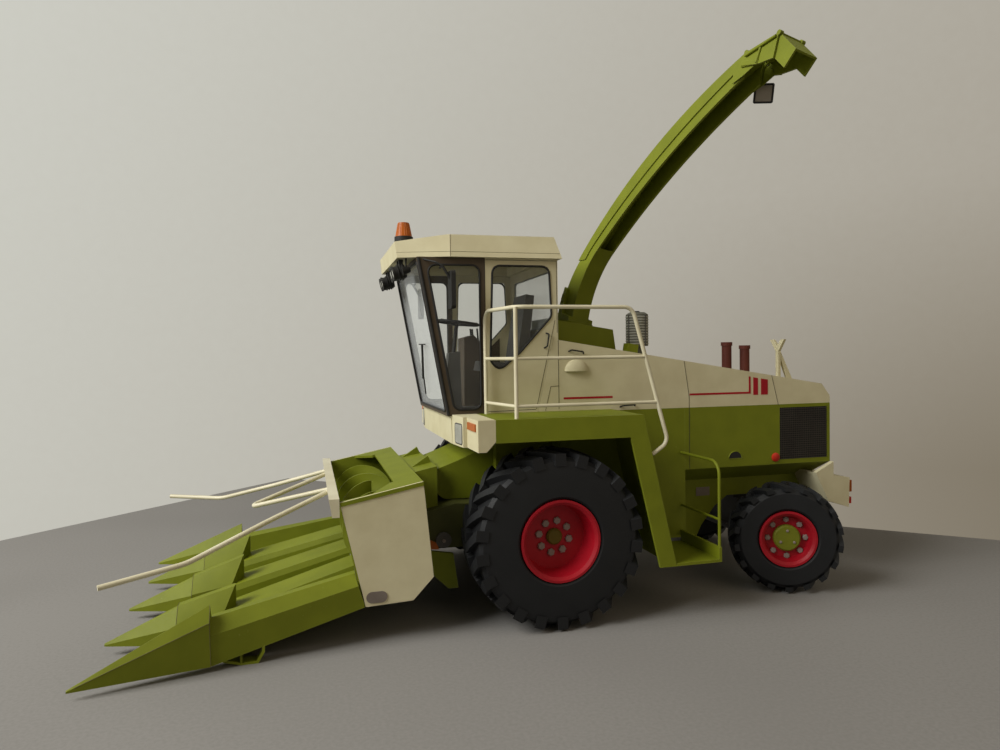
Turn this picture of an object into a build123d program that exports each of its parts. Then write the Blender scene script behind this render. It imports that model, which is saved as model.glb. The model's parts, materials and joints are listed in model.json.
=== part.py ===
from build123d import *
import os
from math import atan2, cos, degrees, radians, sin, tan

os.makedirs("parts", exist_ok=True)

# A card scale model, 1:25, of a self-propelled forage harvester with a four-row maize header.
# Millimetres. X forward with the front axle at X = 0, Y to the machine's left, Z up from the table.

# ---- card stock and running fits ------------------------------------------------------------
CARD = 1.0              # laminated card wall of hull, hood and cab
THIN = 0.6              # single laminated sheet
PANE = 0.4              # clear sheet glazing
FIT = 0.05              # radial clearance of a turning shaft
SIDE_PLAY = 0.3         # end play between a turning piece and its seat

# ---- driving dimensions -----------------------------------------------------------------------
WHEELBASE = 104.8
FRONT_TYRE_R, FRONT_TYRE_W, FRONT_FACE_Y = 31.35, 24.0, 59.0
REAR_TYRE_R, REAR_TYRE_W = 21.7, 14.0
KINGPIN_Y = 31.3
WHEEL_OFFSET = 18.0     # kingpin axis to the outer face of the rear tyre
STEER_REST = 22.0       # both rear wheels stand turned, rear edge towards the left
BODY_HALF = 32.0        # half width of hull, hood and cab
SEAM_Z = 73.8           # cream hood meets green hull; cab floor
DECK_HALF = 60.5        # outer edge of the side decks
DECK_Z = 74.3
REAR_X = -WHEELBASE - 25.2     # rear face of the engine bay
CAB_REAR_X = -9.0
HULL_STEP_X = -62.0     # deep front hull ends, engine bay begins
BAY_SIDE_Z = 49.0        # lower edge of the engine bay sides
BAY_FLOOR_Z = 41.9       # flat bay floor between the bevelled flanks
HULL_FLOOR_Z = 23.0
HOOD_SLOPE = 9.4        # degrees, hood top falls towards the rear
HOOD_FRONT_Z = 101.3    # hood top where it meets the cab
ROOF_Z = 131.8          # underside of the cab roof

PIECES = []


def finish(piece, label):
    """Name a finished piece and keep it for export."""
    piece.part.label = label
    PIECES.append(piece.part)


def hood_top(x):
    """Height of the sloping hood top at a station x."""
    return HOOD_FRONT_Z - (CAB_REAR_X - x) * tan(radians(HOOD_SLOPE))


def cross_plane(x):
    """Plane across the machine at station x: local X is +Y, local Y is up."""
    return Plane(origin=(x, 0, 0), x_dir=(0, 1, 0), z_dir=(1, 0, 0))


def side_plane(y):
    """Plane along the machine at y: local X is forward, local Y is up, normal to the right."""
    return Plane(origin=(0, y, 0), x_dir=(1, 0, 0), z_dir=(0, -1, 0))


def outline(*points):
    """Closed face from corner points, in the current sketch."""
    Polygon(*points, align=None)


# ================================================================================================
# HULL AND HOOD
# ================================================================================================
hull_side = [(CAB_REAR_X, SEAM_Z), (CAB_REAR_X, 58), (-30, 42), (-34, HULL_FLOOR_Z),
             (HULL_STEP_X, HULL_FLOOR_Z), (HULL_STEP_X, SEAM_Z)]
CHOPPER_HALF, CHOPPER_FRONT_X, CHOPPER_FLOOR_Z, CHOPPER_TOP_Z = 24.0, 14.0, 40.0, 62.6

with BuildPart() as front_hull:
    with BuildSketch(Plane.XZ):
        outline(*hull_side)
    extrude(amount=BODY_HALF, both=True)
    with BuildSketch(Plane.XZ):
        outline((CHOPPER_FRONT_X, CHOPPER_FLOOR_Z), (CHOPPER_FRONT_X, CHOPPER_TOP_Z),
                (CAB_REAR_X - 1, CHOPPER_TOP_Z), (-34, CHOPPER_FLOOR_Z))
    extrude(amount=CHOPPER_HALF, both=True)
    # hollow, open at the top under the hood and the cab floor
    with BuildSketch(Plane.XZ):
        outline((CAB_REAR_X - CARD, SEAM_Z + 1), (CAB_REAR_X - CARD, 58.4), (-30.7, 42.4),
                (-33, HULL_FLOOR_Z + CARD), (HULL_STEP_X + CARD, HULL_FLOOR_Z + CARD),
                (HULL_STEP_X + CARD, SEAM_Z + 1))
    extrude(amount=BODY_HALF - CARD, both=True, mode=Mode.SUBTRACT)
finish(front_hull, "front_hull")

GRILLE_FRONT_X, GRILLE_REAR_X = REAR_X + 24.4, REAR_X + 1.4
GRILLE_LOW_Z, GRILLE_HIGH_Z = 51.0, 72.4
RAIL_HALF = 18.0        # outer faces of the frame rails under the bay
BAY_LENGTH = HULL_STEP_X - REAR_X
with BuildPart() as engine_bay:
    # vertical sides, flanks bevelled inwards to the frame rails
    with BuildSketch(cross_plane(REAR_X)):
        outline((-BODY_HALF, SEAM_Z), (-BODY_HALF, BAY_SIDE_Z), (-RAIL_HALF, BAY_FLOOR_Z), (RAIL_HALF, BAY_FLOOR_Z),
                (BODY_HALF, BAY_SIDE_Z), (BODY_HALF, SEAM_Z))
    extrude(amount=BAY_LENGTH)
    with BuildSketch(cross_plane(REAR_X + CARD)):
        outline((CARD - BODY_HALF, SEAM_Z + 1), (CARD - BODY_HALF, BAY_SIDE_Z + 0.6), (-RAIL_HALF, BAY_FLOOR_Z + CARD),
                (RAIL_HALF, BAY_FLOOR_Z + CARD), (BODY_HALF - CARD, BAY_SIDE_Z + 0.6), (BODY_HALF - CARD, SEAM_Z + 1))
    extrude(amount=BAY_LENGTH - 2 * CARD, mode=Mode.SUBTRACT)
    # grille windows in both side walls
    with BuildSketch(Plane.XZ):
        outline((GRILLE_FRONT_X, GRILLE_LOW_Z), (GRILLE_FRONT_X, GRILLE_HIGH_Z),
                (GRILLE_REAR_X, GRILLE_HIGH_Z), (GRILLE_REAR_X, GRILLE_LOW_Z))
    extrude(amount=BODY_HALF + 1, both=True, mode=Mode.SUBTRACT)
finish(engine_bay, "engine_bay")

with BuildPart() as grilles:
    for side in (1, -1):
        with BuildSketch(side_plane(side * (BODY_HALF - 0.6))):
            outline((GRILLE_FRONT_X - 0.01, GRILLE_LOW_Z + 0.01), (GRILLE_FRONT_X - 0.01, GRILLE_HIGH_Z - 0.01),
                    (GRILLE_REAR_X + 0.01, GRILLE_HIGH_Z - 0.01), (GRILLE_REAR_X + 0.01, GRILLE_LOW_Z + 0.01))
        extrude(amount=0.3, both=True)
finish(grilles, "grilles")

HOOD_CHAMFER_X = REAR_X + 4
HOOD_REAR_Z = 76.8
hood_profile = [(CAB_REAR_X, SEAM_Z), (CAB_REAR_X, HOOD_FRONT_Z), (HOOD_CHAMFER_X, hood_top(HOOD_CHAMFER_X)),
                (REAR_X, HOOD_REAR_Z), (REAR_X, SEAM_Z)]
with BuildPart() as hood:
    with BuildSketch(Plane.XZ):
        outline(*hood_profile)
    extrude(amount=BODY_HALF, both=True)
    with BuildSketch(Plane.XZ):
        outline((CAB_REAR_X - CARD, SEAM_Z - 1), (CAB_REAR_X - CARD, hood_top(CAB_REAR_X - CARD) - CARD),
                (HOOD_CHAMFER_X + 0.4, hood_top(HOOD_CHAMFER_X) - CARD),
                (REAR_X + CARD, HOOD_REAR_Z - 0.4), (REAR_X + CARD, SEAM_Z - 1))
    extrude(amount=BODY_HALF - CARD, both=True, mode=Mode.SUBTRACT)
finish(hood, "hood")

# frame rails under the engine bay, with the arched side panels over the rear axle
RAIL_LOW_Z = 34.5
RAIL_END_X = REAR_X + 1
AXLE_Z = REAR_TYRE_R
# corners of the arch over the rear axle, ahead of its centre line
ARCH = ((15.3, RAIL_LOW_Z), (21.3, 30.3), (27.7, 22.5), (30.0, HULL_FLOOR_Z - 5))
with BuildPart() as chassis_frame:
    for side in (1, -1):
        with BuildSketch(side_plane(side * (RAIL_HALF - 0.75))):
            outline((HULL_STEP_X, HULL_FLOOR_Z - 5), (HULL_STEP_X, BAY_FLOOR_Z), (RAIL_END_X, BAY_FLOOR_Z),
                    (RAIL_END_X, RAIL_LOW_Z), *[(x - WHEELBASE, z) for x, z in ARCH])
        extrude(amount=0.75, both=True)
    for x, low in ((HULL_STEP_X - 8, 30), (-WHEELBASE, 35.5), (REAR_X + 8, RAIL_LOW_Z)):
        with BuildSketch(cross_plane(x)):
            with Locations((0, (low + BAY_FLOOR_Z) / 2)):
                Rectangle(2 * RAIL_HALF - 2, BAY_FLOOR_Z - low)
        extrude(amount=2, both=True)
finish(chassis_frame, "chassis_frame")

BUMPER_HALF = 34.0
BUMPER_TOP_FRONT, BUMPER_TOP_REAR = (REAR_X + 8.4, 44.7), (REAR_X - 8.2, 41.8)
BUMPER_LOW_REAR, BUMPER_LOW_FRONT = (REAR_X - 7.8, 29.2), (REAR_X + 2.2, 32.4)
with BuildPart() as rear_bumper:
    with BuildSketch(Plane.XZ):
        outline(BUMPER_TOP_FRONT, BUMPER_TOP_REAR, BUMPER_LOW_REAR, BUMPER_LOW_FRONT)
    extrude(amount=BUMPER_HALF, both=True)
    # triangular ears up to the rear corners of the hull
    for side in (1, -1):
        with BuildSketch(side_plane(side * (BUMPER_HALF - 1.0))):
            outline(BUMPER_TOP_FRONT, (REAR_X - 0.2, BAY_SIDE_Z), (REAR_X - 0.2, BUMPER_TOP_REAR[1]))
        extrude(amount=1.0, both=True)
    # seat of the engine bay, and the frame rails that run in from the front
    with BuildSketch(cross_plane(REAR_X)):
        outline((-BODY_HALF, SEAM_Z), (-BODY_HALF, BAY_SIDE_Z), (-RAIL_HALF, BAY_FLOOR_Z), (RAIL_HALF, BAY_FLOOR_Z),
                (BODY_HALF, BAY_SIDE_Z), (BODY_HALF, SEAM_Z))
    extrude(amount=20, mode=Mode.SUBTRACT)
    with BuildSketch(Plane.XZ):
        outline((RAIL_END_X, BUMPER_TOP_FRONT[1] + 1), (RAIL_END_X + 10, BUMPER_TOP_FRONT[1] + 1),
                (RAIL_END_X + 10, BUMPER_LOW_FRONT[1] - 1), (RAIL_END_X, BUMPER_LOW_FRONT[1] - 1))
    extrude(amount=RAIL_HALF, both=True, mode=Mode.SUBTRACT)
finish(rear_bumper, "rear_bumper")

# drawbar clevis behind the bumper, with a 2 mm pin hole
HITCH_X, HITCH_Z, HITCH_PIN_R, HITCH_EYE_R = REAR_X - 14.5, 35.5, 1.0, 3.0
with BuildPart() as tow_hitch:
    with BuildSketch(Plane.XY.offset(HITCH_Z)):
        with Locations((HITCH_X, 0)):
            Circle(HITCH_EYE_R)
        outline((HITCH_X, HITCH_EYE_R), (HITCH_X, -HITCH_EYE_R), (BUMPER_LOW_REAR[0], -HITCH_EYE_R),
                (BUMPER_LOW_REAR[0], HITCH_EYE_R))
    extrude(amount=2.4, both=True)
    with BuildSketch(Plane.XY.offset(HITCH_Z)):
        with Locations((HITCH_X - 1, 0)):
            Rectangle(6, 3 * HITCH_EYE_R)
    extrude(amount=1.2, both=True, mode=Mode.SUBTRACT)
    with BuildSketch(Plane.XY.offset(HITCH_Z)):
        with Locations((HITCH_X, 0)):
            Circle(HITCH_PIN_R)
    extrude(amount=4, both=True, mode=Mode.SUBTRACT)
    # the root lies flat on the leaning rear face of the bumper
    with BuildSketch(Plane.XZ):
        outline(BUMPER_LOW_REAR, BUMPER_TOP_REAR, (BUMPER_TOP_REAR[0] + 9, BUMPER_TOP_REAR[1]),
                (BUMPER_TOP_REAR[0] + 9, BUMPER_LOW_REAR[1]))
    extrude(amount=2 * HITCH_EYE_R, both=True, mode=Mode.SUBTRACT)
finish(tow_hitch, "tow_hitch")

# ================================================================================================
# AXLES, KNUCKLES AND WHEELS
# ================================================================================================
FRONT_STUB_R, REAR_STUB_R = 2.2, 2.6
FRONT_RIM_R, REAR_RIM_R = 14.35, 11.0
FRONT_DISC_IN, REAR_DISC_IN = 9.0, 4.5       # dish depth from the outer face to the wheel disc
DISC_T = 1.2
COLLAR = 2.4             # hub collar behind the wheel disc
FRONT_CAP_RISE, FRONT_CAP_R = 1.4, 2.8      # hub caps, small in front and large behind
REAR_CAP_RISE, REAR_CAP_R = 2.2, 5.1
with BuildPart() as front_axle:
    with BuildSketch(Plane.XZ):
        with Locations((0, FRONT_TYRE_R)):
            Rectangle(14, 2 * (CHOPPER_FLOOR_Z - FRONT_TYRE_R))
    extrude(amount=CHOPPER_HALF, both=True)
    fillet(front_axle.edges().filter_by(Axis.Y).group_by(Axis.Z)[0], 4)
    for side in (1, -1):
        with BuildSketch(Plane(origin=(0, side * CHOPPER_HALF, FRONT_TYRE_R), x_dir=(1, 0, 0),
                               z_dir=(0, side, 0))):
            Circle(11)
        extrude(amount=9, taper=8)
        hub = Plane(origin=(0, side * (CHOPPER_HALF + 9), FRONT_TYRE_R), x_dir=(1, 0, 0), z_dir=(0, side, 0))
        reach = FRONT_FACE_Y - FRONT_DISC_IN - CHOPPER_HALF - 9
        with BuildSketch(hub):
            Circle(FRONT_STUB_R + 2.4)
        extrude(amount=reach - COLLAR - SIDE_PLAY)
        with BuildSketch(hub):
            Circle(FRONT_STUB_R)
        extrude(amount=reach)
finish(front_axle, "front_axle")

AXLE_BEAM_END = KINGPIN_Y - 4.5
with BuildPart() as rear_axle:
    with BuildSketch(cross_plane(-WHEELBASE)):
        outline((-AXLE_BEAM_END, AXLE_Z - 3), (-AXLE_BEAM_END, AXLE_Z + 3), (-9, AXLE_Z + 4), (-6, AXLE_Z + 9),
                (6, AXLE_Z + 9), (9, AXLE_Z + 4), (AXLE_BEAM_END, AXLE_Z + 3), (AXLE_BEAM_END, AXLE_Z - 3),
                (6, AXLE_Z - 5), (-6, AXLE_Z - 5))
    extrude(amount=3, both=True)
    # fork arms that hold each kingpin, above and below the knuckle
    for side in (1, -1):
        for level in (1, -1):
            with BuildSketch(Plane.XY.offset(AXLE_Z + level * 5.0 - 1)):
                with Locations((-WHEELBASE, side * (AXLE_BEAM_END + 1.25))):
                    Rectangle(6, 6.5)
                with Locations((-WHEELBASE, side * KINGPIN_Y)):
                    Circle(3)
            extrude(amount=2)
        with BuildSketch(cross_plane(-WHEELBASE)):
            with Locations((side * (AXLE_BEAM_END - 1), AXLE_Z)):
                Rectangle(2, 12)
        extrude(amount=3, both=True)
        with BuildSketch(Plane.XY.offset(AXLE_Z - 6)):
            with Locations((-WHEELBASE, side * KINGPIN_Y)):
                Circle(1.2)
        extrude(amount=12)
    # trunnion that hangs the axle under the frame
    with Locations(Location((-WHEELBASE, 0, AXLE_Z + 11.3))):
        Box(8, 10, 5)
finish(rear_axle, "rear_axle")

TRACK_ARM = 9.0          # steering arm, kingpin to track rod pin
ARM_Z = AXLE_Z - 1.0
STEER_TURN = -STEER_REST


def kingpin_plane(side, height=0.0):
    """Plane at a kingpin, turned by the steering angle at rest: local X forward, local Y left."""
    return Plane(origin=(-WHEELBASE, side * KINGPIN_Y, height)).rotated((0, 0, STEER_TURN))


def knuckle(side, label):
    with BuildPart() as piece:
        level = kingpin_plane(side, AXLE_Z)
        with BuildSketch(level):
            Circle(3)
        extrude(amount=3.7, both=True)
        # steering arm towards the front, carries the track rod pin
        with BuildSketch(kingpin_plane(side, ARM_Z)):
            with Locations((TRACK_ARM / 2, 0)):
                Rectangle(TRACK_ARM, 2.4)
            with Locations((TRACK_ARM, 0)):
                Circle(1.6)
        extrude(amount=1, both=True)
        # hub flange and stub shaft, along the wheel's axle
        hub = Plane(origin=level.origin, x_dir=level.x_dir, z_dir=level.y_dir * side)
        with BuildSketch(hub):
            Circle(REAR_STUB_R)
        extrude(amount=WHEEL_OFFSET - REAR_DISC_IN)
        with BuildSketch(hub.offset(3.0)):
            Circle(5.5)
        extrude(amount=1.4)
        with BuildSketch(hub):
            Circle(REAR_STUB_R + 1.4)
        extrude(amount=WHEEL_OFFSET - REAR_DISC_IN - COLLAR - SIDE_PLAY)
        with BuildSketch(kingpin_plane(side, AXLE_Z)):
            Circle(1.2 + FIT)
        extrude(amount=8, both=True, mode=Mode.SUBTRACT)
        with BuildSketch(kingpin_plane(side, ARM_Z)):
            with Locations((TRACK_ARM, 0)):
                Circle(0.7 + FIT)
        extrude(amount=3, both=True, mode=Mode.SUBTRACT)
    finish(piece, label)


knuckle(1, "left_knuckle")
knuckle(-1, "right_knuckle")

# track rod under the arms, one pin up into each
with BuildPart() as track_rod:
    pins = [kingpin_plane(side, ARM_Z).from_local_coords((TRACK_ARM, 0, 0)) for side in (1, -1)]
    rod_z = ARM_Z - 1 - SIDE_PLAY - 0.9
    with BuildSketch(Plane.XY.offset(rod_z - 0.9)):
        with Locations(((pins[0].X + pins[1].X) / 2, (pins[0].Y + pins[1].Y) / 2)):
            Rectangle(1.8, pins[0].Y - pins[1].Y)
        for pin in pins:
            with Locations((pin.X, pin.Y)):
                Circle(1.5)
    extrude(amount=1.8)
    for pin in pins:
        with BuildSketch(Plane.XY.offset(rod_z)):
            with Locations((pin.X, pin.Y)):
                Circle(0.7)
        extrude(amount=4.0)
finish(track_rod, "track_rod")


def wheel_plane(front, side):
    """Plane on a wheel's outer face, normal pointing outwards along its axle."""
    if front:
        return Plane(origin=(0, side * FRONT_FACE_Y, FRONT_TYRE_R), x_dir=(1, 0, 0), z_dir=(0, side, 0))
    level = kingpin_plane(side, AXLE_Z)
    outward = level.y_dir * side
    return Plane(origin=level.origin + outward * WHEEL_OFFSET, x_dir=level.x_dir, z_dir=outward)


def wheel(front, side, name):
    """A tyre and its dished rim, both turned about the axle. Local Z = 0 is the outer face."""
    radius, width = (FRONT_TYRE_R, FRONT_TYRE_W) if front else (REAR_TYRE_R, REAR_TYRE_W)
    rim_r = FRONT_RIM_R if front else REAR_RIM_R
    disc_in = FRONT_DISC_IN if front else REAR_DISC_IN
    bore = (FRONT_STUB_R if front else REAR_STUB_R) + FIT
    cap_rise, cap_r = (FRONT_CAP_RISE, FRONT_CAP_R) if front else (REAR_CAP_RISE, REAR_CAP_R)
    lip, crown = 0.12 * radius, 0.09 * radius
    face = wheel_plane(front, side)
    section = Plane(origin=face.origin, x_dir=face.x_dir, z_dir=-face.y_dir)   # local X radial, local Y outward
    with BuildPart() as tyre:
        with BuildSketch(section):
            outline((rim_r, -lip), (rim_r + 1, 0), (radius - 2 * crown, 0), (radius - 0.4, -crown),
                    (radius, -2 * crown), (radius, 2 * crown - width), (radius - 0.4, crown - width),
                    (radius - 2 * crown, -width), (rim_r + 1, -width), (rim_r, lip - width))
        revolve(axis=Axis(face.origin, face.z_dir))
    finish(tyre, f"{name}_tyre")
    with BuildPart() as rim:
        with BuildSketch(section):
            outline((bore, -disc_in - COLLAR), (bore, -disc_in + SIDE_PLAY), (0, -disc_in + SIDE_PLAY),
                    (0, -disc_in + cap_rise), (cap_r - 0.5, -disc_in + cap_rise), (cap_r, -disc_in + cap_rise - 0.5),
                    (cap_r, -disc_in), (rim_r - 3.0, -disc_in), (rim_r - 1.8, -1.2), (rim_r - 0.8, -0.4),
                    (rim_r, -0.4), (rim_r, lip - width), (rim_r - 0.8, lip - width),
                    (rim_r - 0.8, -disc_in - DISC_T), (bore + 2.0, -disc_in - DISC_T),
                    (bore + 2.0, -disc_in - COLLAR))
        revolve(axis=Axis(face.origin, face.z_dir))
    finish(rim, f"{name}_rim")


for front, side, name in ((True, 1, "front_left"), (True, -1, "front_right"),
                          (False, 1, "rear_left"), (False, -1, "rear_right")):
    wheel(front, side, name)

# ================================================================================================
# CAB
# ================================================================================================
WIND_LOW_X, WIND_HIGH_X = 32.9, 43.2        # windscreen leans forward
DOOR_FRONT_X = 19.3
BAND_LOW_Z = 63.6
WALL_TOP_Z = ROOF_Z


def pillar_x(z):
    """Forward edge of the cab at height z, along the windscreen."""
    return WIND_LOW_X + (WIND_HIGH_X - WIND_LOW_X) * (z - SEAM_Z) / (WALL_TOP_Z - SEAM_Z)


with BuildPart() as cab_base:
    with BuildSketch(Plane.XZ):
        outline((CAB_REAR_X, BAND_LOW_Z), (CAB_REAR_X, SEAM_Z), (WIND_LOW_X, SEAM_Z), (WIND_LOW_X - 0.4, BAND_LOW_Z))
    extrude(amount=BODY_HALF, both=True)
    with BuildSketch(Plane.XZ):
        outline((CAB_REAR_X + CARD, BAND_LOW_Z - 1), (CAB_REAR_X + CARD, SEAM_Z - CARD),
                (WIND_LOW_X - CARD, SEAM_Z - CARD), (WIND_LOW_X - CARD, BAND_LOW_Z - 1))
    extrude(amount=BODY_HALF - CARD, both=True, mode=Mode.SUBTRACT)
finish(cab_base, "cab_base")

quarter_corners = [(DOOR_FRONT_X, SEAM_Z), (DOOR_FRONT_X, WALL_TOP_Z), (pillar_x(WALL_TOP_Z), WALL_TOP_Z),
                   (WIND_LOW_X, SEAM_Z)]
quarter_window = [(DOOR_FRONT_X + 2.0, 76.0), (DOOR_FRONT_X + 2.0, 129.0), (pillar_x(129.0) - 1.8, 129.0),
                  (pillar_x(76.0) - 1.8, 76.0)]
door_corners = [(DOOR_FRONT_X, SEAM_Z), (DOOR_FRONT_X, WALL_TOP_Z), (CAB_REAR_X, WALL_TOP_Z), (CAB_REAR_X, 110.5),
                (-0.4, SEAM_Z)]
door_window = [(17.6, 93.8), (16.4, 129.0), (-5.6, 129.0), (-6.4, 110.2), (6.1, 96.8), (14.4, 89.9)]


def side_wall(label, sides, corners, window, corner_r):
    """Flat walls of the cab side, a card thick, with their windows cut."""
    with BuildPart() as piece:
        for side in sides:
            with BuildSketch(side_plane(side * (BODY_HALF - CARD / 2))):
                outline(*corners)
            extrude(amount=CARD / 2, both=True)
            with BuildSketch(side_plane(side * (BODY_HALF - CARD / 2))) as opening:
                outline(*window)
                fillet(opening.vertices(), corner_r)
            extrude(amount=CARD, both=True, mode=Mode.SUBTRACT)
    finish(piece, label)


side_wall("quarter_panels", (1, -1), quarter_corners, quarter_window, 2.5)
side_wall("left_door", (1,), door_corners, door_window, 1.6)
side_wall("right_door", (-1,), door_corners, door_window, 1.6)

REAR_WINDOW_HALF, REAR_WINDOW_LOW_Z, REAR_WINDOW_HIGH_Z = BODY_HALF - 6, 106.0, 128.0
with BuildPart() as cab_rear_wall:
    with BuildSketch(cross_plane(CAB_REAR_X)):
        outline((-BODY_HALF + CARD, SEAM_Z), (-BODY_HALF + CARD, WALL_TOP_Z), (BODY_HALF - CARD, WALL_TOP_Z),
                (BODY_HALF - CARD, SEAM_Z))
    extrude(amount=CARD)
    with BuildSketch(cross_plane(CAB_REAR_X)) as opening:
        outline((-REAR_WINDOW_HALF, REAR_WINDOW_LOW_Z), (-REAR_WINDOW_HALF, REAR_WINDOW_HIGH_Z),
                (REAR_WINDOW_HALF, REAR_WINDOW_HIGH_Z), (REAR_WINDOW_HALF, REAR_WINDOW_LOW_Z))
        fillet(opening.vertices(), 2.5)
    extrude(amount=CARD, mode=Mode.SUBTRACT)
    # rear corner panels beside the slanted door edges
    for side in (1, -1):
        with BuildSketch(side_plane(side * (BODY_HALF - CARD / 2))):
            outline((CAB_REAR_X, SEAM_Z), (CAB_REAR_X, 110.2), (-0.5, SEAM_Z))
        extrude(amount=CARD / 2, both=True)
finish(cab_rear_wall, "cab_rear_wall")

# windscreen frame: two raked pillars, a sill and a header rail in one ring
rake = Plane(origin=(WIND_LOW_X, 0, SEAM_Z), x_dir=(0, 1, 0),
             z_dir=(WALL_TOP_Z - SEAM_Z, 0, -(WIND_HIGH_X - WIND_LOW_X)))
RAKE_LEN = ((WALL_TOP_Z - SEAM_Z) ** 2 + (WIND_HIGH_X - WIND_LOW_X) ** 2) ** 0.5
PILLAR_W = 1.6
with BuildPart() as windscreen_frame:
    with BuildSketch(Plane.XZ):
        outline((WIND_LOW_X + 0.01, SEAM_Z), (pillar_x(WALL_TOP_Z) + 0.01, WALL_TOP_Z),
                (pillar_x(WALL_TOP_Z) + 1.2, WALL_TOP_Z), (WIND_LOW_X + 1.2, SEAM_Z))
    extrude(amount=BODY_HALF, both=True)
    with BuildSketch(rake) as opening:
        with Locations((0, RAKE_LEN / 2)):
            Rectangle(2 * (BODY_HALF - PILLAR_W), RAKE_LEN - 3.0)
        fillet(opening.vertices(), 1.5)
    extrude(amount=4, both=True, mode=Mode.SUBTRACT)
finish(windscreen_frame, "windscreen_frame")

ROOF_HALF, ROOF_FRONT_HALF = BODY_HALF + 2, BODY_HALF - 4.1
roof_plan = [(-10.3, ROOF_HALF), (32.5, ROOF_HALF), (51.0, ROOF_FRONT_HALF), (51.0, -ROOF_FRONT_HALF),
             (32.5, -ROOF_HALF), (-10.3, -ROOF_HALF)]
ROOF_TOP_Z, ROOF_FALL = 140.2, 7.4      # the top falls 7.4 degrees from its fold to the front
with BuildPart() as cab_roof:
    with BuildSketch(Plane.XY.offset(ROOF_Z)):
        outline(*roof_plan)
    with BuildSketch(Plane.XY.offset(ROOF_TOP_Z)):
        outline((-8.0, ROOF_HALF - 2.6), (32.0, ROOF_HALF - 2.6), (52.0, ROOF_FRONT_HALF - 1.6),
                (52.0, 1.6 - ROOF_FRONT_HALF), (32.0, 2.6 - ROOF_HALF), (-8.0, 2.6 - ROOF_HALF))
    loft(ruled=True)
    with BuildSketch(Plane.XZ):
        outline((33, ROOF_TOP_Z), (53, ROOF_TOP_Z - 20 * tan(radians(ROOF_FALL))), (53, ROOF_TOP_Z + 2),
                (33, ROOF_TOP_Z + 2))
    extrude(amount=40, both=True, mode=Mode.SUBTRACT)
    # headlining recess inside the walls
    with BuildSketch(Plane.XY.offset(ROOF_Z)):
        outline((-6.0, BODY_HALF - 3), (30, BODY_HALF - 3), (40, BODY_HALF - 7), (40, 7 - BODY_HALF),
                (30, 3 - BODY_HALF), (-6.0, 3 - BODY_HALF))
    extrude(amount=5, mode=Mode.SUBTRACT)
finish(cab_roof, "cab_roof")

with BuildPart() as cab_windows:
    for side in (1, -1):
        for corners, corner_r in ((quarter_window, 2.5), (door_window, 1.6)):
            with BuildSketch(side_plane(side * (BODY_HALF - CARD / 2))) as pane:
                outline(*corners)
                fillet(pane.vertices(), corner_r)
                offset(amount=-0.01)
            extrude(amount=PANE / 2, both=True)
    with BuildSketch(Plane(origin=rake.origin + rake.z_dir * 0.5, x_dir=rake.x_dir, z_dir=rake.z_dir)) as pane:
        with Locations((0, RAKE_LEN / 2)):
            Rectangle(2 * (BODY_HALF - PILLAR_W) - 0.02, RAKE_LEN - 3.02)
        fillet(pane.vertices(), 1.5)
    extrude(amount=PANE / 2, both=True)
    with BuildSketch(cross_plane(CAB_REAR_X + CARD / 2)) as pane:
        with Locations((0, (REAR_WINDOW_LOW_Z + REAR_WINDOW_HIGH_Z) / 2)):
            Rectangle(2 * REAR_WINDOW_HALF - 0.02, REAR_WINDOW_HIGH_Z - REAR_WINDOW_LOW_Z - 0.02)
        fillet(pane.vertices(), 2.5)
    extrude(amount=PANE / 2, both=True)
finish(cab_windows, "cab_windows")

SEAT_X, SEAT_Y = 4.0, 0.0
with BuildPart() as driver_seat:
    with BuildSketch(side_plane(SEAT_Y)):
        outline((SEAT_X - 7, 88), (SEAT_X - 11, 120), (SEAT_X - 7.5, 120.5), (SEAT_X - 3, 92.5), (SEAT_X + 10, 93.5),
                (SEAT_X + 11, 89.5))
    extrude(amount=9, both=True)
    with BuildSketch(Plane.XY.offset(SEAM_Z)):
        with Locations((SEAT_X + 1, SEAT_Y)):
            Rectangle(14, 14)
    extrude(amount=88.2 - SEAM_Z)
finish(driver_seat, "driver_seat")

WHEEL_R, WHEEL_TUBE_R = 6.2, 0.7
with BuildPart() as steering_column:
    with BuildSketch(side_plane(0)):
        outline((29.5, SEAM_Z), (24.5, 101.8), (20.5, 102.6), (23.0, SEAM_Z))
    extrude(amount=2.2, both=True)
    wheel_rake = Plane(origin=(22.6, 0, 104.4), x_dir=(0, 1, 0), z_dir=(-0.35, 0, 0.94))
    with BuildSketch(wheel_rake):
        Circle(1.6)
        Rectangle(2 * WHEEL_R, 1.2)
        Rectangle(1.2, 2 * WHEEL_R)
    extrude(amount=0.5, both=True)
    with BuildSketch(wheel_rake.offset(-3)):
        Circle(0.9)
    extrude(amount=3)
    with Locations(wheel_rake):
        Torus(WHEEL_R, WHEEL_TUBE_R)
finish(steering_column, "steering_column")

# ================================================================================================
# DECKS, STEPS AND RAILING
# ================================================================================================
DECK_FRONT_X, DECK_REAR_X, FASCIA_LOW_Z = 23.3, -30.3, 66.5
LEG_FOOT_X, LEG_FOOT_Z = -36.3, 19.6
LIGHT_BOX_FRONT_X = 31.5
leg_outer = [(DECK_REAR_X, DECK_Z), (-42.7, LEG_FOOT_Z), (LEG_FOOT_X, LEG_FOOT_Z), (-25.4, FASCIA_LOW_Z)]


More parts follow.
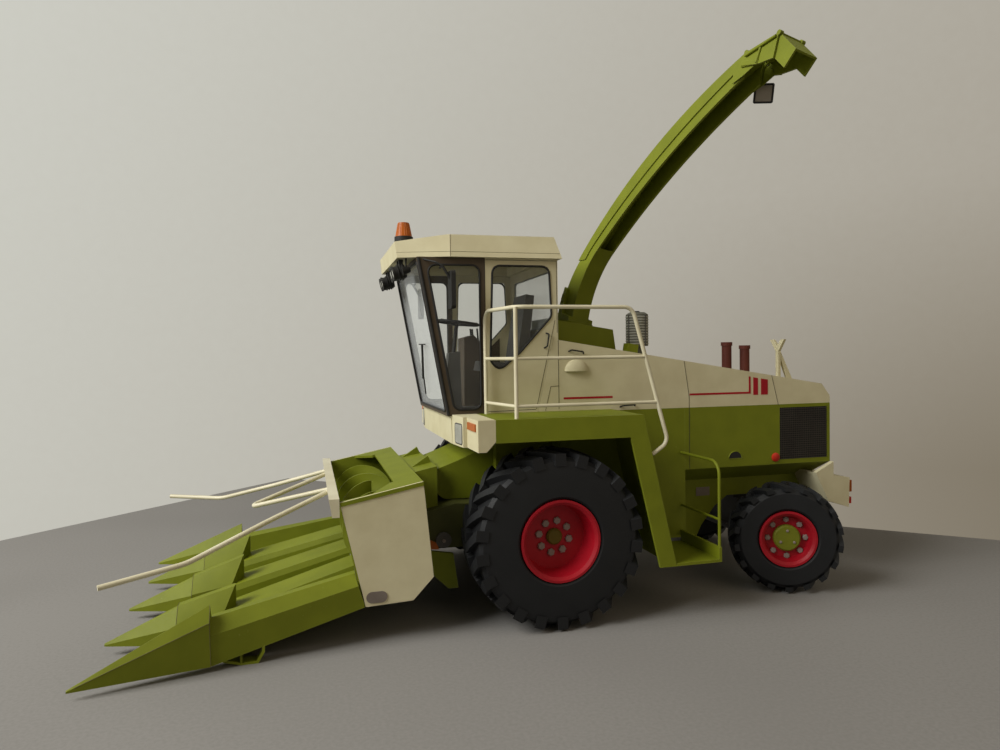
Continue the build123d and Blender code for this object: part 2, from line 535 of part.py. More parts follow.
def deck(side, label):
    """Side deck over the front tyre: tread plate, outer fascia and the raked mudguard behind the tyre."""
    with BuildPart() as piece:
        inner, outer = BODY_HALF, DECK_HALF
        with BuildSketch(side_plane(side * (inner + outer) / 2)):
            outline((DECK_FRONT_X, DECK_Z - CARD), (DECK_FRONT_X, DECK_Z), (DECK_REAR_X, DECK_Z),
                    (-42.7, LEG_FOOT_Z), (-42.7 + CARD, LEG_FOOT_Z), (DECK_REAR_X + CARD, DECK_Z - CARD))
        extrude(amount=(outer - inner) / 2, both=True)
        with BuildSketch(side_plane(side * (outer - CARD / 2))):
            outline((DECK_FRONT_X, FASCIA_LOW_Z), (DECK_FRONT_X, DECK_Z), *leg_outer)
        extrude(amount=CARD / 2, both=True)
    finish(piece, label)


deck(1, "left_deck")
deck(-1, "right_deck")


# cream lamp boxes in front of the decks, each with a headlamp recess
with BuildPart() as light_boxes:
    for side in (1, -1):
        with BuildSketch(side_plane(side * (BODY_HALF + DECK_HALF) / 2)):
            outline((LIGHT_BOX_FRONT_X, BAND_LOW_Z), (LIGHT_BOX_FRONT_X, DECK_Z), (DECK_FRONT_X, DECK_Z),
                    (DECK_FRONT_X, 67.0), (26.5, BAND_LOW_Z))
        extrude(amount=(DECK_HALF - BODY_HALF) / 2, both=True)
        lamp_centre = (LIGHT_BOX_FRONT_X, side * 41.5, 68.4)
        with BuildSketch(Plane(origin=lamp_centre, x_dir=(0, 1, 0), z_dir=(1, 0, 0))) as lamp:
            Rectangle(9, 7)
            fillet(lamp.vertices(), 1.2)
        extrude(amount=-1.2, mode=Mode.SUBTRACT)
finish(light_boxes, "light_boxes")

TRAY_REAR_X, TRAY_Z = -60.8, 19.6
with BuildPart() as left_steps:
    # bottom tread with a raised rear wall, and the grab rail that hangs it from the hull
    with BuildSketch(side_plane((BODY_HALF + DECK_HALF) / 2)):
        outline((-42.7, TRAY_Z), (-42.7, TRAY_Z + CARD), (TRAY_REAR_X + CARD, TRAY_Z + CARD),
                (TRAY_REAR_X + CARD, 25), (TRAY_REAR_X, 25), (TRAY_REAR_X, TRAY_Z))
    extrude(amount=(DECK_HALF - BODY_HALF) / 2, both=True)
    rail_x = TRAY_REAR_X + CARD / 2
    with BuildLine(cross_plane(rail_x)) as rail_path:
        FilletPolyline((BODY_HALF, 56.0), (DECK_HALF - 0.8, 56.0), (DECK_HALF - 0.8, 24.0), radius=5)
    with BuildSketch(Plane(origin=(rail_x, BODY_HALF, 56.0), z_dir=rail_path.line % 0)):
        Circle(0.55)
    sweep(path=rail_path.line)
    with BuildSketch(Plane(origin=(rail_x, BODY_HALF, 35.0), x_dir=(1, 0, 0), z_dir=(0, 1, 0))):
        Circle(0.45)
    extrude(amount=DECK_HALF - BODY_HALF - 0.8)
finish(left_steps, "left_steps")

RAIL_R = 0.7
RAIL_TOP_Z, RAIL_MID_Z, RAIL_LOW2_Z = 112.0, 94.6, 78.5
RAIL_Y = DECK_HALF - 1.5
GATE_X, POST_X = 20.0, 15.6
RAIL_REAR_X, RAIL_FOOT_X, RAIL_FOOT_Z = -27.0, -40.4, 64.0
with BuildPart() as left_railing:
    with BuildLine() as loop:
        FilletPolyline((GATE_X, BODY_HALF + 2, DECK_Z), (GATE_X, BODY_HALF + 2, RAIL_TOP_Z),
                       (POST_X, RAIL_Y, RAIL_TOP_Z), (RAIL_REAR_X, RAIL_Y, RAIL_TOP_Z),
                       (RAIL_FOOT_X, RAIL_Y, RAIL_FOOT_Z), (RAIL_FOOT_X + 6.2, RAIL_Y, RAIL_FOOT_Z - 4), radius=4)
    with BuildSketch(Plane(origin=(GATE_X, BODY_HALF + 2, DECK_Z), z_dir=(0, 0, 1))):
        Circle(RAIL_R)
    sweep(path=loop.line)
    with BuildSketch(Plane(origin=(POST_X, RAIL_Y, DECK_Z))):
        Circle(RAIL_R)
    extrude(amount=RAIL_TOP_Z - DECK_Z)
    for z in (RAIL_MID_Z, RAIL_LOW2_Z):
        rear_x = RAIL_REAR_X + (RAIL_FOOT_X - RAIL_REAR_X) * (RAIL_TOP_Z - z) / (RAIL_TOP_Z - RAIL_FOOT_Z)
        with BuildLine() as bar:
            Line((GATE_X, BODY_HALF + 2, z), (POST_X, RAIL_Y, z))
        with BuildSketch(Plane(origin=bar.line @ 0, z_dir=bar.line % 0)):
            Circle(0.6)
        sweep(path=bar.line)
        with BuildLine() as bar:
            Line((POST_X, RAIL_Y, z), (rear_x, RAIL_Y, z))
        with BuildSketch(Plane(origin=bar.line @ 0, z_dir=bar.line % 0)):
            Circle(0.6)
        sweep(path=bar.line)
finish(left_railing, "left_railing")

# ================================================================================================
# SMALL FITTINGS ON CAB AND HOOD
# ================================================================================================
MIRROR_X, MIRROR_Y, MIRROR_Z = 32.7, 37.0, 119.5
MIRROR_ARM_X, MIRROR_ARM_Z = 36.0, 128.0
with BuildPart() as mirror:
    for side in (1, -1):
        mirror_y = side * MIRROR_Y
        with BuildSketch(Plane(origin=(MIRROR_X, mirror_y, MIRROR_Z), x_dir=(0, 1, 0), z_dir=(1, 0, 0))) as glass:
            Rectangle(7.0, 13.5)
            fillet(glass.vertices(), 1.2)
        extrude(amount=0.8, both=True)
        # arm out from the pillar, then down to the panel
        with BuildSketch(Plane(origin=(MIRROR_ARM_X, side * BODY_HALF, MIRROR_ARM_Z), x_dir=(1, 0, 0),
                               z_dir=(0, side, 0))):
            Circle(0.5)
        extrude(amount=MIRROR_Y - BODY_HALF)
        with BuildSketch(Plane(origin=(MIRROR_ARM_X, mirror_y, MIRROR_ARM_Z), x_dir=(0, 1, 0),
                               z_dir=(MIRROR_X - MIRROR_ARM_X, 0, MIRROR_Z + 3 - MIRROR_ARM_Z))):
            Circle(0.5)
        extrude(amount=6)
finish(mirror, "mirror")

BEACON_X, BEACON_Y = 44.8, 0.0
BEACON_FOOT_Z, BEACON_TOP_Z = 143.4, 149.4
with BuildPart() as beacon:
    beacon_z = ROOF_TOP_Z - (BEACON_X - 33) * tan(radians(ROOF_FALL))
    with BuildSketch(Plane.XY.offset(beacon_z - 1.0)):
        with Locations((BEACON_X, BEACON_Y)):
            Circle(3.6)
    extrude(amount=BEACON_FOOT_Z - beacon_z + 1.0)
    with BuildSketch(Plane.XY.offset(BEACON_FOOT_Z)):
        with Locations((BEACON_X, BEACON_Y)):
            Circle(3.4)
    extrude(amount=BEACON_TOP_Z - BEACON_FOOT_Z, taper=11)
    # foot cut to the slope of the roof
    with BuildSketch(Plane.XZ):
        outline((33, ROOF_TOP_Z), (53, ROOF_TOP_Z - 20 * tan(radians(ROOF_FALL))), (53, ROOF_TOP_Z - 8),
                (33, ROOF_TOP_Z - 8))
    extrude(amount=10, both=True, mode=Mode.SUBTRACT)
finish(beacon, "beacon")

LAMP_R = 2.5
with BuildPart() as work_lights:
    for y in (-22.0, -16.5, 16.5, 22.0):
        with BuildSketch(Plane(origin=(49.5, y, 127.2), x_dir=(0, 1, 0), z_dir=(1, 0, -0.25))):
            Circle(LAMP_R)
        extrude(amount=2.2, both=True)
        with BuildSketch(Plane.XY.offset(ROOF_Z)):
            with Locations((49.0, y)):
                Rectangle(1.6, 1.6)
        extrude(amount=-3)
finish(work_lights, "work_lights")

hood_normal = (-sin(radians(HOOD_SLOPE)), 0, cos(radians(HOOD_SLOPE)))


def hood_plane(x, y, rise=0.0):
    """Plane lying on the hood top at (x, y): local X points up the slope, local Y to the left."""
    top = Plane(origin=(x, y, hood_top(x)), x_dir=(cos(radians(HOOD_SLOPE)), 0, sin(radians(HOOD_SLOPE))),
                z_dir=hood_normal)
    return top.offset(rise)


SCREEN_X, SCREEN_Y, SCREEN_R, SCREEN_LOW_Z, SCREEN_TOP_Z = -51.1, 12.0, 4.6, 98.8, 112.0
with BuildPart() as air_screen:
    neck_z = hood_top(SCREEN_X) - 2
    with BuildSketch(Plane.XY.offset(neck_z)):
        with Locations((SCREEN_X, SCREEN_Y)):
            Circle(3)
    extrude(amount=SCREEN_LOW_Z - neck_z)
    for level, height, slant in ((SCREEN_LOW_Z, SCREEN_TOP_Z - SCREEN_LOW_Z, 0), (SCREEN_TOP_Z, 0.9, 55)):
        with BuildSketch(Plane.XY.offset(level)):
            with Locations((SCREEN_X, SCREEN_Y)):
                Circle(SCREEN_R)
        extrude(amount=height, taper=slant)
    with BuildSketch(hood_plane(SCREEN_X, SCREEN_Y)):
        Rectangle(30, 30)
    extrude(amount=-6, mode=Mode.SUBTRACT)
finish(air_screen, "air_screen")

EXHAUST_HEIGHT, EXHAUST_R, EXHAUST_BORE, EXHAUST_Y = 13.2, 2.1, 1.5, 8.0
with BuildPart() as exhausts:
    for x in (REAR_X + 34, REAR_X + 25):
        # upright pipe with a collar at the mouth, its foot cut to the slope of the hood
        for level, height, radius in ((-2.0, EXHAUST_HEIGHT + 2, EXHAUST_R), (EXHAUST_HEIGHT - 1.6, 1.6, EXHAUST_R + 0.35)):
            with BuildSketch(Plane.XY.offset(hood_top(x) + level)):
                with Locations((x, EXHAUST_Y)):
                    Circle(radius)
            extrude(amount=height)
        with BuildSketch(Plane.XY.offset(hood_top(x) + 2)):
            with Locations((x, EXHAUST_Y)):
                Circle(EXHAUST_BORE)
        extrude(amount=EXHAUST_HEIGHT, mode=Mode.SUBTRACT)
        with BuildSketch(hood_plane(x, EXHAUST_Y)):
            Rectangle(8, 8)
        extrude(amount=-4, mode=Mode.SUBTRACT)
finish(exhausts, "exhausts")

REST_X, REST_Y, REST_FORK_Z, REST_TOP_Z = REAR_X + 10.7, 12.0, 95.8, 101.0
REST_FOOT_Z = hood_top(REST_X) - 3     # below the hood top, trimmed to it
with BuildPart() as spout_rest:
    with BuildSketch(cross_plane(REST_X)):
        outline(*[(REST_Y + y, z) for y, z in (
            (-1.0, REST_FOOT_Z), (-1.0, REST_FORK_Z), (-5.0, REST_TOP_Z), (-2.8, REST_TOP_Z), (0, REST_FORK_Z + 2.4),
            (2.8, REST_TOP_Z), (5.0, REST_TOP_Z), (1.0, REST_FORK_Z), (1.0, REST_FOOT_Z))])
    extrude(amount=0.6, both=True)
    with BuildSketch(side_plane(REST_Y)):
        outline((REST_X - 0.5, REST_FORK_Z + 0.4), (REST_X - 0.5, REST_FORK_Z - 2.6), (REST_X - 5.6, REST_FOOT_Z),
                (REST_X - 8.2, REST_FOOT_Z))
    extrude(amount=0.8, both=True)
    with BuildSketch(hood_plane(REST_X, REST_Y)):
        Rectangle(40, 40)
    extrude(amount=-6, mode=Mode.SUBTRACT)
finish(spout_rest, "spout_rest")

# ================================================================================================
# DISCHARGE SPOUT
# ================================================================================================
SLEW_REST = 79.0            # spout stands turned from straight back towards the left
HOUSING_FRONT_X, HOUSING_REAR_X, HOUSING_HALF = -11.5, -42.0, 11.0
SLEW_X, HOUSING_TOP_Z = -27.5, 108.0
slew_top = Plane(origin=(SLEW_X, 0, HOUSING_TOP_Z), x_dir=hood_plane(SLEW_X, 0).x_dir, z_dir=hood_normal)
back = -slew_top.x_dir
left = Vector(0, 1, 0)
spout_dir = back * cos(radians(SLEW_REST)) + left * sin(radians(SLEW_REST))
# local X runs out along the spout, local Y up along the slewing axis
spout_plane = Plane(origin=slew_top.origin, x_dir=spout_dir, z_dir=spout_dir.cross(slew_top.z_dir))
SPIGOT_R, SPIGOT_DEPTH = 5.0, 4.0
TURNTABLE_R, TURNTABLE_T, TURNTABLE_GAP = 7.8, 1.2, 0.1

with BuildPart() as spout_housing:
    with BuildSketch(Plane.XZ):
        outline((HOUSING_FRONT_X, hood_top(HOUSING_FRONT_X)), (HOUSING_FRONT_X - 0.6, HOUSING_TOP_Z + 6),
                (HOUSING_REAR_X + 1.7, HOUSING_TOP_Z), (HOUSING_REAR_X, hood_top(HOUSING_REAR_X)))
    extrude(amount=HOUSING_HALF, both=True)
    # flat top square to the slewing axis, with the bore for the turntable spigot
    with BuildSketch(slew_top):
        Rectangle(60, 60)
    extrude(amount=8, mode=Mode.SUBTRACT)
    with BuildSketch(slew_top):
        Circle(SPIGOT_R + FIT)
    extrude(amount=-SPIGOT_DEPTH - SIDE_PLAY, mode=Mode.SUBTRACT)
    # small box on the hood behind the housing
    with BuildSketch(hood_plane(-44.4, 19.0)):
        Rectangle(4.4, 5.0)
    extrude(amount=4.2)
finish(spout_housing, "spout_housing")

CHUTE_HALF, CHUTE_WALL = 4.0, 0.8
CAP_HALF = 4.5
# convex back and concave belly of the chute: base offset, straight rise, then (radius, turn) twice
BACK_CURVE = (-5.9, 1.3, (38.3, 39.4), (197.0, 30.8))
BELLY_CURVE = (4.4, 3.0, (37.6, 47.0), (272.0, 18.2))


def curve_points(curve, inset):
    """Corner and middle points of one chute curve; inset moves it towards its centres of curvature."""
    base, rise, (r1, turn1), (r2, turn2) = curve
    centre1 = Vector(base + r1, rise)
    ray1 = Vector(-cos(radians(turn1)), sin(radians(turn1)))
    centre2 = centre1 + ray1 * (r1 - r2)

    def at(centre, radius, turn):
        return centre + Vector(-cos(radians(turn)), sin(radians(turn))) * (radius - inset)

    return [(base + inset, 0), (base + inset, rise), at(centre1, r1, turn1 / 2), at(centre1, r1, turn1),
            at(centre2, r2, turn1 + turn2 / 2), at(centre2, r2, turn1 + turn2)]


def chute_outline(back_inset, belly_inset, base=0.0):
    """Closed face between the two curves, from the base level up to the open end."""
    upper = curve_points(BACK_CURVE, back_inset)
    lower = curve_points(BELLY_CURVE, belly_inset)
    with BuildLine() as rim:
        Line((upper[0][0], base), upper[1])
        ThreePointArc(upper[1], upper[2], upper[3])
        ThreePointArc(upper[3], upper[4], upper[5])
        Line(upper[5], lower[5])
        ThreePointArc(lower[5], lower[4], lower[3])
        ThreePointArc(lower[3], lower[2], lower[1])
        Line(lower[1], (lower[0][0], base))
        Line((lower[0][0], base), (upper[0][0], base))
    make_face(rim.edges())


CLOSED_TO = 31.0          # belly is closed by a plate up to this rise
CAP_FROM = 27.0
# hinge lines of the two end flaps
end_back = curve_points(BACK_CURVE, 0)[5]
hinge_one = Vector(end_back.X + 0.9, end_back.Y - 0.2)
hinge_two = hinge_one + Vector(13.1, 1.6)
FLAP_HALF, PIN_R, EYE_R = 5.3, 0.35, 0.8
with BuildPart() as spout:
    with BuildSketch(spout_plane):
        chute_outline(0, 0, base=TURNTABLE_GAP)
    extrude(amount=CHUTE_HALF, both=True)
    # cap: a wider channel folded over the upper half
    with BuildSketch(spout_plane):
        chute_outline(-0.4, -3.6)
        with Locations((0, CAP_FROM / 2)):
            Rectangle(60, CAP_FROM, mode=Mode.SUBTRACT)
    extrude(amount=CAP_HALF, both=True)
    # duct inside, then the belly opened beyond the closing plate
    with BuildSketch(spout_plane):
        chute_outline(CHUTE_WALL, -CHUTE_WALL, base=TURNTABLE_T)
    extrude(amount=CHUTE_HALF - CHUTE_WALL, both=True, mode=Mode.SUBTRACT)
    with BuildSketch(spout_plane):
        chute_outline(CHUTE_WALL + 2, 3)
        with Locations((0, CLOSED_TO / 2)):
            Rectangle(80, CLOSED_TO, mode=Mode.SUBTRACT)
    extrude(amount=CHUTE_HALF - CHUTE_WALL, both=True, mode=Mode.SUBTRACT)
    # turntable plate and spigot
    with BuildSketch(slew_top.offset(TURNTABLE_GAP)):
        Circle(TURNTABLE_R)
    extrude(amount=TURNTABLE_T - TURNTABLE_GAP)
    with BuildSketch(slew_top.offset(TURNTABLE_GAP)):
        Circle(SPIGOT_R)
    extrude(amount=-SPIGOT_DEPTH)
    # hinge lugs at the open end, with the pin of the first flap
    root = hinge_one + Vector(-3.0, -1.5)
    reach = hinge_one - root
    for hand in (1, -1):
        with BuildSketch(spout_plane.offset(hand * (CAP_HALF - THIN / 2))):
            with Locations(((root.X + hinge_one.X) / 2, (root.Y + hinge_one.Y) / 2)):
                SlotCenterToCenter(reach.length, 2 * EYE_R, rotation=degrees(atan2(reach.Y, reach.X)))
        extrude(amount=THIN / 2, both=True)
    with BuildSketch(spout_plane):
        with Locations((hinge_one.X, hinge_one.Y)):
            Circle(PIN_R)
    extrude(amount=FLAP_HALF, both=True)
finish(spout, "spout")

# ---- end flaps ---------------------------------------------------------------------------------
flap_tip = hinge_two + Vector(7.0, -7.2)
flap_low = hinge_two + Vector(3.3, -11.7)
notch = hinge_two + Vector(-0.9, -7.5)
inner_low = hinge_two + Vector(-6.5, -7.3)
inner_back = hinge_one + Vector(-1.6, -4.2)


def flap(label, half, hinge, cheek, plate, next_hinge=None):
    """A U-shaped flap bored to turn on its hinge pin: top plate and two cheeks; it may carry the next pin."""
    eyes = [hinge] + ([next_hinge] if next_hinge else [])
    with BuildPart() as piece:
        with BuildSketch(spout_plane):
            outline(*plate)
        extrude(amount=half, both=True)
        for hand in (1, -1):
            with BuildSketch(spout_plane.offset(hand * (half - THIN / 2))):
                outline(*cheek)
                with Locations(*[(eye.X, eye.Y) for eye in eyes]):
                    Circle(EYE_R)
            extrude(amount=THIN / 2, both=True)
        if next_hinge:
            with BuildSketch(spout_plane):
                with Locations((next_hinge.X, next_hinge.Y)):
                    Circle(PIN_R)
            extrude(amount=half, both=True)
        with BuildSketch(spout_plane):
            with Locations((hinge.X, hinge.Y)):
                Circle(PIN_R + FIT)
        extrude(amount=half + 1, both=True, mode=Mode.SUBTRACT)
    finish(piece, label)


along_one = (hinge_two - hinge_one).normalized()
down_one = Vector(along_one.Y, -along_one.X)
along_two = (flap_tip - hinge_two).normalized()
down_two = Vector(along_two.Y, -along_two.X)
LUG_GAP, PIN_GAP = EYE_R + 0.1, PIN_R + 0.1
one_from, one_to = hinge_one + along_one * LUG_GAP, hinge_two - along_one * LUG_GAP
two_from = hinge_two + along_two * PIN_GAP
flap("inner_flap", FLAP_HALF, hinge_one, [hinge_one, hinge_two, notch, inner_low, inner_back],
     [one_from, one_to, one_to + down_one * THIN, one_from + down_one * THIN], hinge_two)
flap("outer_flap", CAP_HALF, hinge_two, [hinge_two, flap_tip, flap_low, notch],
     [two_from, flap_tip, flap_tip + down_two * THIN, two_from + down_two * THIN])

LAMP_S, LAMP_T, LAMP_OUT = 84.5, 78.0, 9.8
with BuildPart() as spout_lamp:
    with BuildSketch(spout_plane.offset(-LAMP_OUT)):
        with Locations((LAMP_S, LAMP_T)):
            Rectangle(5.6, 5.6)
    extrude(amount=2.6, both=True)
    # bracket out from the side of the chute
    with BuildSketch(spout_plane.offset(-CAP_HALF)):
        with Locations((LAMP_S - 1.5, LAMP_T + 1.5)):
            Rectangle(2.0, 2.0)
    extrude(amount=CAP_HALF - LAMP_OUT)
finish(spout_lamp, "spout_lamp")

# ================================================================================================
# HEADER
# ================================================================================================
with BuildPart() as feeder_housing:
    with BuildSketch(Plane.XZ):
        with BuildLine():
            Polyline((37.0, 46.0), (37.0, 52.5), (28.5, 55.5), (CHOPPER_FRONT_X, 61.5), (CHOPPER_FRONT_X, 41.0),
                     (32.0, 41.0))
            TangentArc((32.0, 41.0), (37.0, 46.0), tangent=(1, 0))
        make_face()
    extrude(amount=20, both=True)
finish(feeder_housing, "feeder_housing")

PLATE_HALF = 50.2
plate_corners = [(74.0, 48.0), (46.2, 53.5), (43.2, 20.8), (50.3, 13.4), (66.2, 12.7)]
with BuildPart() as header_side_plates:
    for side in (1, -1):
        with BuildSketch(side_plane(side * (PLATE_HALF - CARD / 2))):
            outline(*plate_corners)
        extrude(amount=CARD / 2, both=True)
finish(header_side_plates, "header_side_plates")

TROUGH_HALF = PLATE_HALF - CARD
AUGER_X, AUGER_Z, FLIGHT_R, DRUM_R = 60.0, 34.5, 12.6, 6.0
FLIGHT_PITCH, FLIGHT_T, FLIGHT_FROM, FLIGHT_TO = 24.0, 0.8, 3.0, 47.0
with BuildPart() as header_trough:
    with BuildSketch(Plane.XZ):
        with BuildLine():
            Polyline((46.2, 53.5), (43.2, 20.8), (50.3, 13.4), (66.2, 12.7), (68.7, 21.0), (67.7, 21.3))
            Line((67.7, 21.3), (66.0, 18.5))
            ThreePointArc((66.0, 18.5), (50.0, 22.6), (46.0, 34.0))
            Line((46.0, 34.0), (47.3, 52.3))
            Polyline((47.3, 52.3), (54.5, 50.8), (54.7, 51.8), (46.2, 53.5))
        make_face()
    extrude(amount=TROUGH_HALF, both=True)
    for side in (1, -1):
        # end walls inside the cream plates
        with BuildSketch(side_plane(side * (TROUGH_HALF - CARD / 2))):
            outline(*plate_corners, (68.7, 21.0))
        extrude(amount=CARD / 2, both=True)
        # mitred gussets at the rear corners of the top frame
        with BuildSketch(Plane(origin=(46.2, 0, 53.5), x_dir=(27.8, 0, -5.5), z_dir=(5.5, 0, 27.8))):
            outline(*[(along, side * (TROUGH_HALF - inset)) for along, inset in (
                (0, 0), (17.2, 0), (17.2, CARD), (10.0, 12), (0, 12))])
        extrude(amount=-CARD)
finish(header_trough, "header_trough")

with BuildPart() as header_auger:
    with BuildSketch(Plane.XZ):
        with Locations((AUGER_X, AUGER_Z)):
            Circle(DRUM_R)
    extrude(amount=TROUGH_HALF - CARD, both=True)
    # a helical flight from each end, of opposite hands, brings the crop to the middle
    for side in (1, -1):
        centre = Vector(AUGER_X, side * FLIGHT_FROM, AUGER_Z)
        with BuildLine() as turn:
            Helix(FLIGHT_PITCH, FLIGHT_TO - FLIGHT_FROM, DRUM_R - 0.3, center=centre, direction=(0, side, 0),
                  lefthand=side < 0)
        root = turn.line @ 0
        depth = FLIGHT_R - DRUM_R + 0.3
        with BuildSketch(Plane(origin=root, x_dir=(root.X - centre.X, 0, root.Z - centre.Z), z_dir=turn.line % 0)):
            with Locations((depth / 2, 0)):
                Rectangle(depth, FLIGHT_T)
        sweep(path=turn.line, is_frenet=True)
finish(header_auger, "header_auger")

with BuildPart() as header_adapter:
    with BuildSketch(Plane.XZ):
        outline((46.0, 52.6), (37.0, 54.4), (37.0, 38.0), (44.6, 38.0))
    extrude(amount=24, both=True)
    for y in (-17.0, 12.0):
        with BuildSketch(side_plane(y)):
            outline((46.0, 53.4), (38.0, 59.5), (37.2, 54.2), (45.8, 52.5))
        extrude(amount=THIN, both=True)
finish(header_adapter, "header_adapter")

with BuildPart() as parking_feet:
    for side in (1, -1):
        with BuildSketch(side_plane(side * 30)):
            outline((43.4, 24.8), (32.6, 22.8), (30.9, 10.0), (34.6, 10.0), (39.6, 14.8), (42.7, 20.4))
        extrude(amount=CARD, both=True)
finish(parking_feet, "parking_feet")

ROD_R = 0.85
with BuildPart() as crop_bar:
    with BuildSketch(Plane.XZ):
        outline((74.1, 43.3), (76.5, 43.3), (77.5, 49.4), (74.1, 49.4))
    extrude(amount=PLATE_HALF + 0.5, both=True)
    # two long push rods over the outer rows and a bent hoop in the middle
    rods = [[(76, side * 24, 47.8), (98.4, side * 38, 40.5), (121.3, side * 50, bend_z), (144, side * 60, end_z)]
            for side, bend_z, end_z in ((1, 32, 29.5), (-1, 34, 34.5))]
    for path_points, bend in (*[(rod, 20) for rod in rods], ([(76, 19, 47.4), (107, 0, 38.7), (76, -19, 47.4)], 3)):
        with BuildLine() as rod:
            FilletPolyline(*path_points, radius=bend)
        with BuildSketch(Plane(origin=rod.line @ 0, z_dir=rod.line % 0)):
            Circle(ROD_R)
        sweep(path=rod.line)
finish(crop_bar, "crop_bar")

# ---- row deck and dividers -----------------------------------------------------------------------
DECK_FOOT = (112.0, 3.0)
DECK_HEAD = (68.9, 16.0)


with BuildPart() as row_deck:
    with BuildSketch(Plane.XZ):
        outline(DECK_FOOT, DECK_HEAD, (DECK_HEAD[0], DECK_HEAD[1] - 1.5), (DECK_FOOT[0], DECK_FOOT[1] - 1.5))
    extrude(amount=50, both=True)
    with BuildSketch(Plane.XY):
        outline((DECK_HEAD[0] - 1, 43.5), (DECK_HEAD[0] - 1, -43.5), (DECK_FOOT[0] + 1, -49.5),
                (DECK_FOOT[0] + 1, 49.5))
    extrude(amount=30, mode=Mode.INTERSECT)
finish(row_deck, "row_deck")

# inner dividers: sections (station, shift of the centre line, half width at foot, shoulder, ridge)
TIP_X, HUMP_FRONT_X, HUMP_REAR_X = 149.0, 126.5, 108.5


def house(centre, low, half, shoulder, ridge_half, ridge):
    """House-shaped section across a divider: foot, shoulders and a flat ridge."""
    outline((centre - half, low), (centre - half, shoulder), (centre - ridge_half, ridge),
            (centre + ridge_half, ridge), (centre + half, shoulder), (centre + half, low))


def inner_divider(index, tip_y, head_y, hump_z):
    """Pointed nose cone, humped middle with a notched rear end, and a flat ridge back to the trough."""
    hump_y = tip_y * 0.96
    # each length: two stations of (x, centre, foot z, half width, shoulder z, ridge half width, ridge z)
    nose = ((TIP_X, tip_y, 3.1, 0.4, 3.5, 0.2, 3.9), (HUMP_FRONT_X, tip_y * 0.985, 2.6, 6.0, 8.5, 1.2, 13.8))
    hump = ((HUMP_FRONT_X, tip_y * 0.985, 2.6, 6.6, 8.9, 1.6, 14.4), (HUMP_REAR_X, hump_y, 4.2, 6.6, hump_z - 8.6, 1.6, hump_z))
    ridge = ((HUMP_REAR_X + 6, hump_y, 2.6, 8.0, 8.4, 7.2, 10.6),
             (DECK_HEAD[0], head_y, DECK_HEAD[1], 8.0, 20.4, 7.2, 22.4))
    with BuildPart() as piece:
        for stations in (nose, hump):
            for x, *section in stations:
                with BuildSketch(cross_plane(x)):
                    house(*section)
            loft(ruled=True)
        # the hump ends in a notch, deepest on the centre line
        with BuildSketch(Plane.XY):
            for hand in (1, -1):
                outline((HUMP_REAR_X - 1, hump_y + hand * 8), (HUMP_REAR_X - 1, hump_y),
                        (HUMP_REAR_X + 5.0, hump_y + hand * 8))
        extrude(amount=30, mode=Mode.SUBTRACT)
        for x, *section in ridge:
            with BuildSketch(cross_plane(x)):
                house(*section)
        loft(ruled=True)
        with BuildSketch(Plane.XZ):
            outline((DECK_HEAD[0] - 1, DECK_HEAD[1]), DECK_HEAD, DECK_FOOT, (DECK_FOOT[0], -5), (DECK_HEAD[0] - 1, -5))
        extrude(amount=60, both=True, mode=Mode.SUBTRACT)
    finish(piece, f"inner_divider_{index}")


for index, tip_y, head_y, hump_z in ((1, 34.2, 26.5, 19.2), (2, 0.0, 0.0, 20.6), (3, -34.2, -26.5, 20.6)):
    inner_divider(index, tip_y, head_y, hump_z)


# outer dividers: (station, corners as (y, z)) of the nose and of the body behind it
NOSE = ((151.0, ((67.1, 2.4), (67.1, 2.9), (66.8, 3.2), (66.4, 2.9), (66.4, 2.4))),
        (113.8, ((58.4, 1.8), (59.4, 15.7), (57.0, 20.6), (52.0, 13.0), (52.0, 3.0))))
BODY = ((113.8, ((57.6, 1.6), (58.4, 11.3), (55.6, 16.1), (50.0, 15.3), (50.0, 3.0))),
        (66.6, ((50.2, 12.6), (50.2, 20.4), (47.0, 24.1), (43.4, 24.1), (43.4, 14.8))))


def outer_divider(side, label):
    """Long side divider: a pointed nose ahead of a deep body that narrows towards the trough."""
    with BuildPart() as piece:
        for stations in (NOSE, BODY):
            for x, corners in stations:
                with BuildSketch(cross_plane(x)):
                    outline(*[(side * y, z) for y, z in corners])
            loft(ruled=True)
        # stepped where the body butts against the side plate and trough
        with BuildSketch(Plane.XZ):
            outline((60, 5), (66.3, 12.72), (68.9, 21.4), (70.6, 30), (60, 30))
        extrude(amount=side * -70, mode=Mode.SUBTRACT)
    finish(piece, label)


outer_divider(1, "left_outer_divider")
outer_divider(-1, "right_outer_divider")

with BuildPart() as header_skids:
    for side in (1, -1):
        # bent strip under each outer divider, its ends turned up to the body
        with BuildSketch(side_plane(side * 52.6)):
            outline((111.6, 3.5), (110.6, 1.4), (105.2, 0), (100.2, 0), (98.2, 3.4), (98.2, 7.0), (99.0, 7.0),
                    (99.0, 3.7), (100.7, 0.7), (105.2, 0.7), (110.0, 2.0), (110.6, 3.5))
            outline((105.6, 0), (105.6, 7.0), (105.0, 7.0), (105.0, 0))
        extrude(amount=2.6, both=True)
        for x, corners in BODY:
            with BuildSketch(cross_plane(x)):
                outline(*[(side * y, z) for y, z in corners])
        loft(ruled=True, mode=Mode.SUBTRACT)
finish(header_skids, "header_skids")

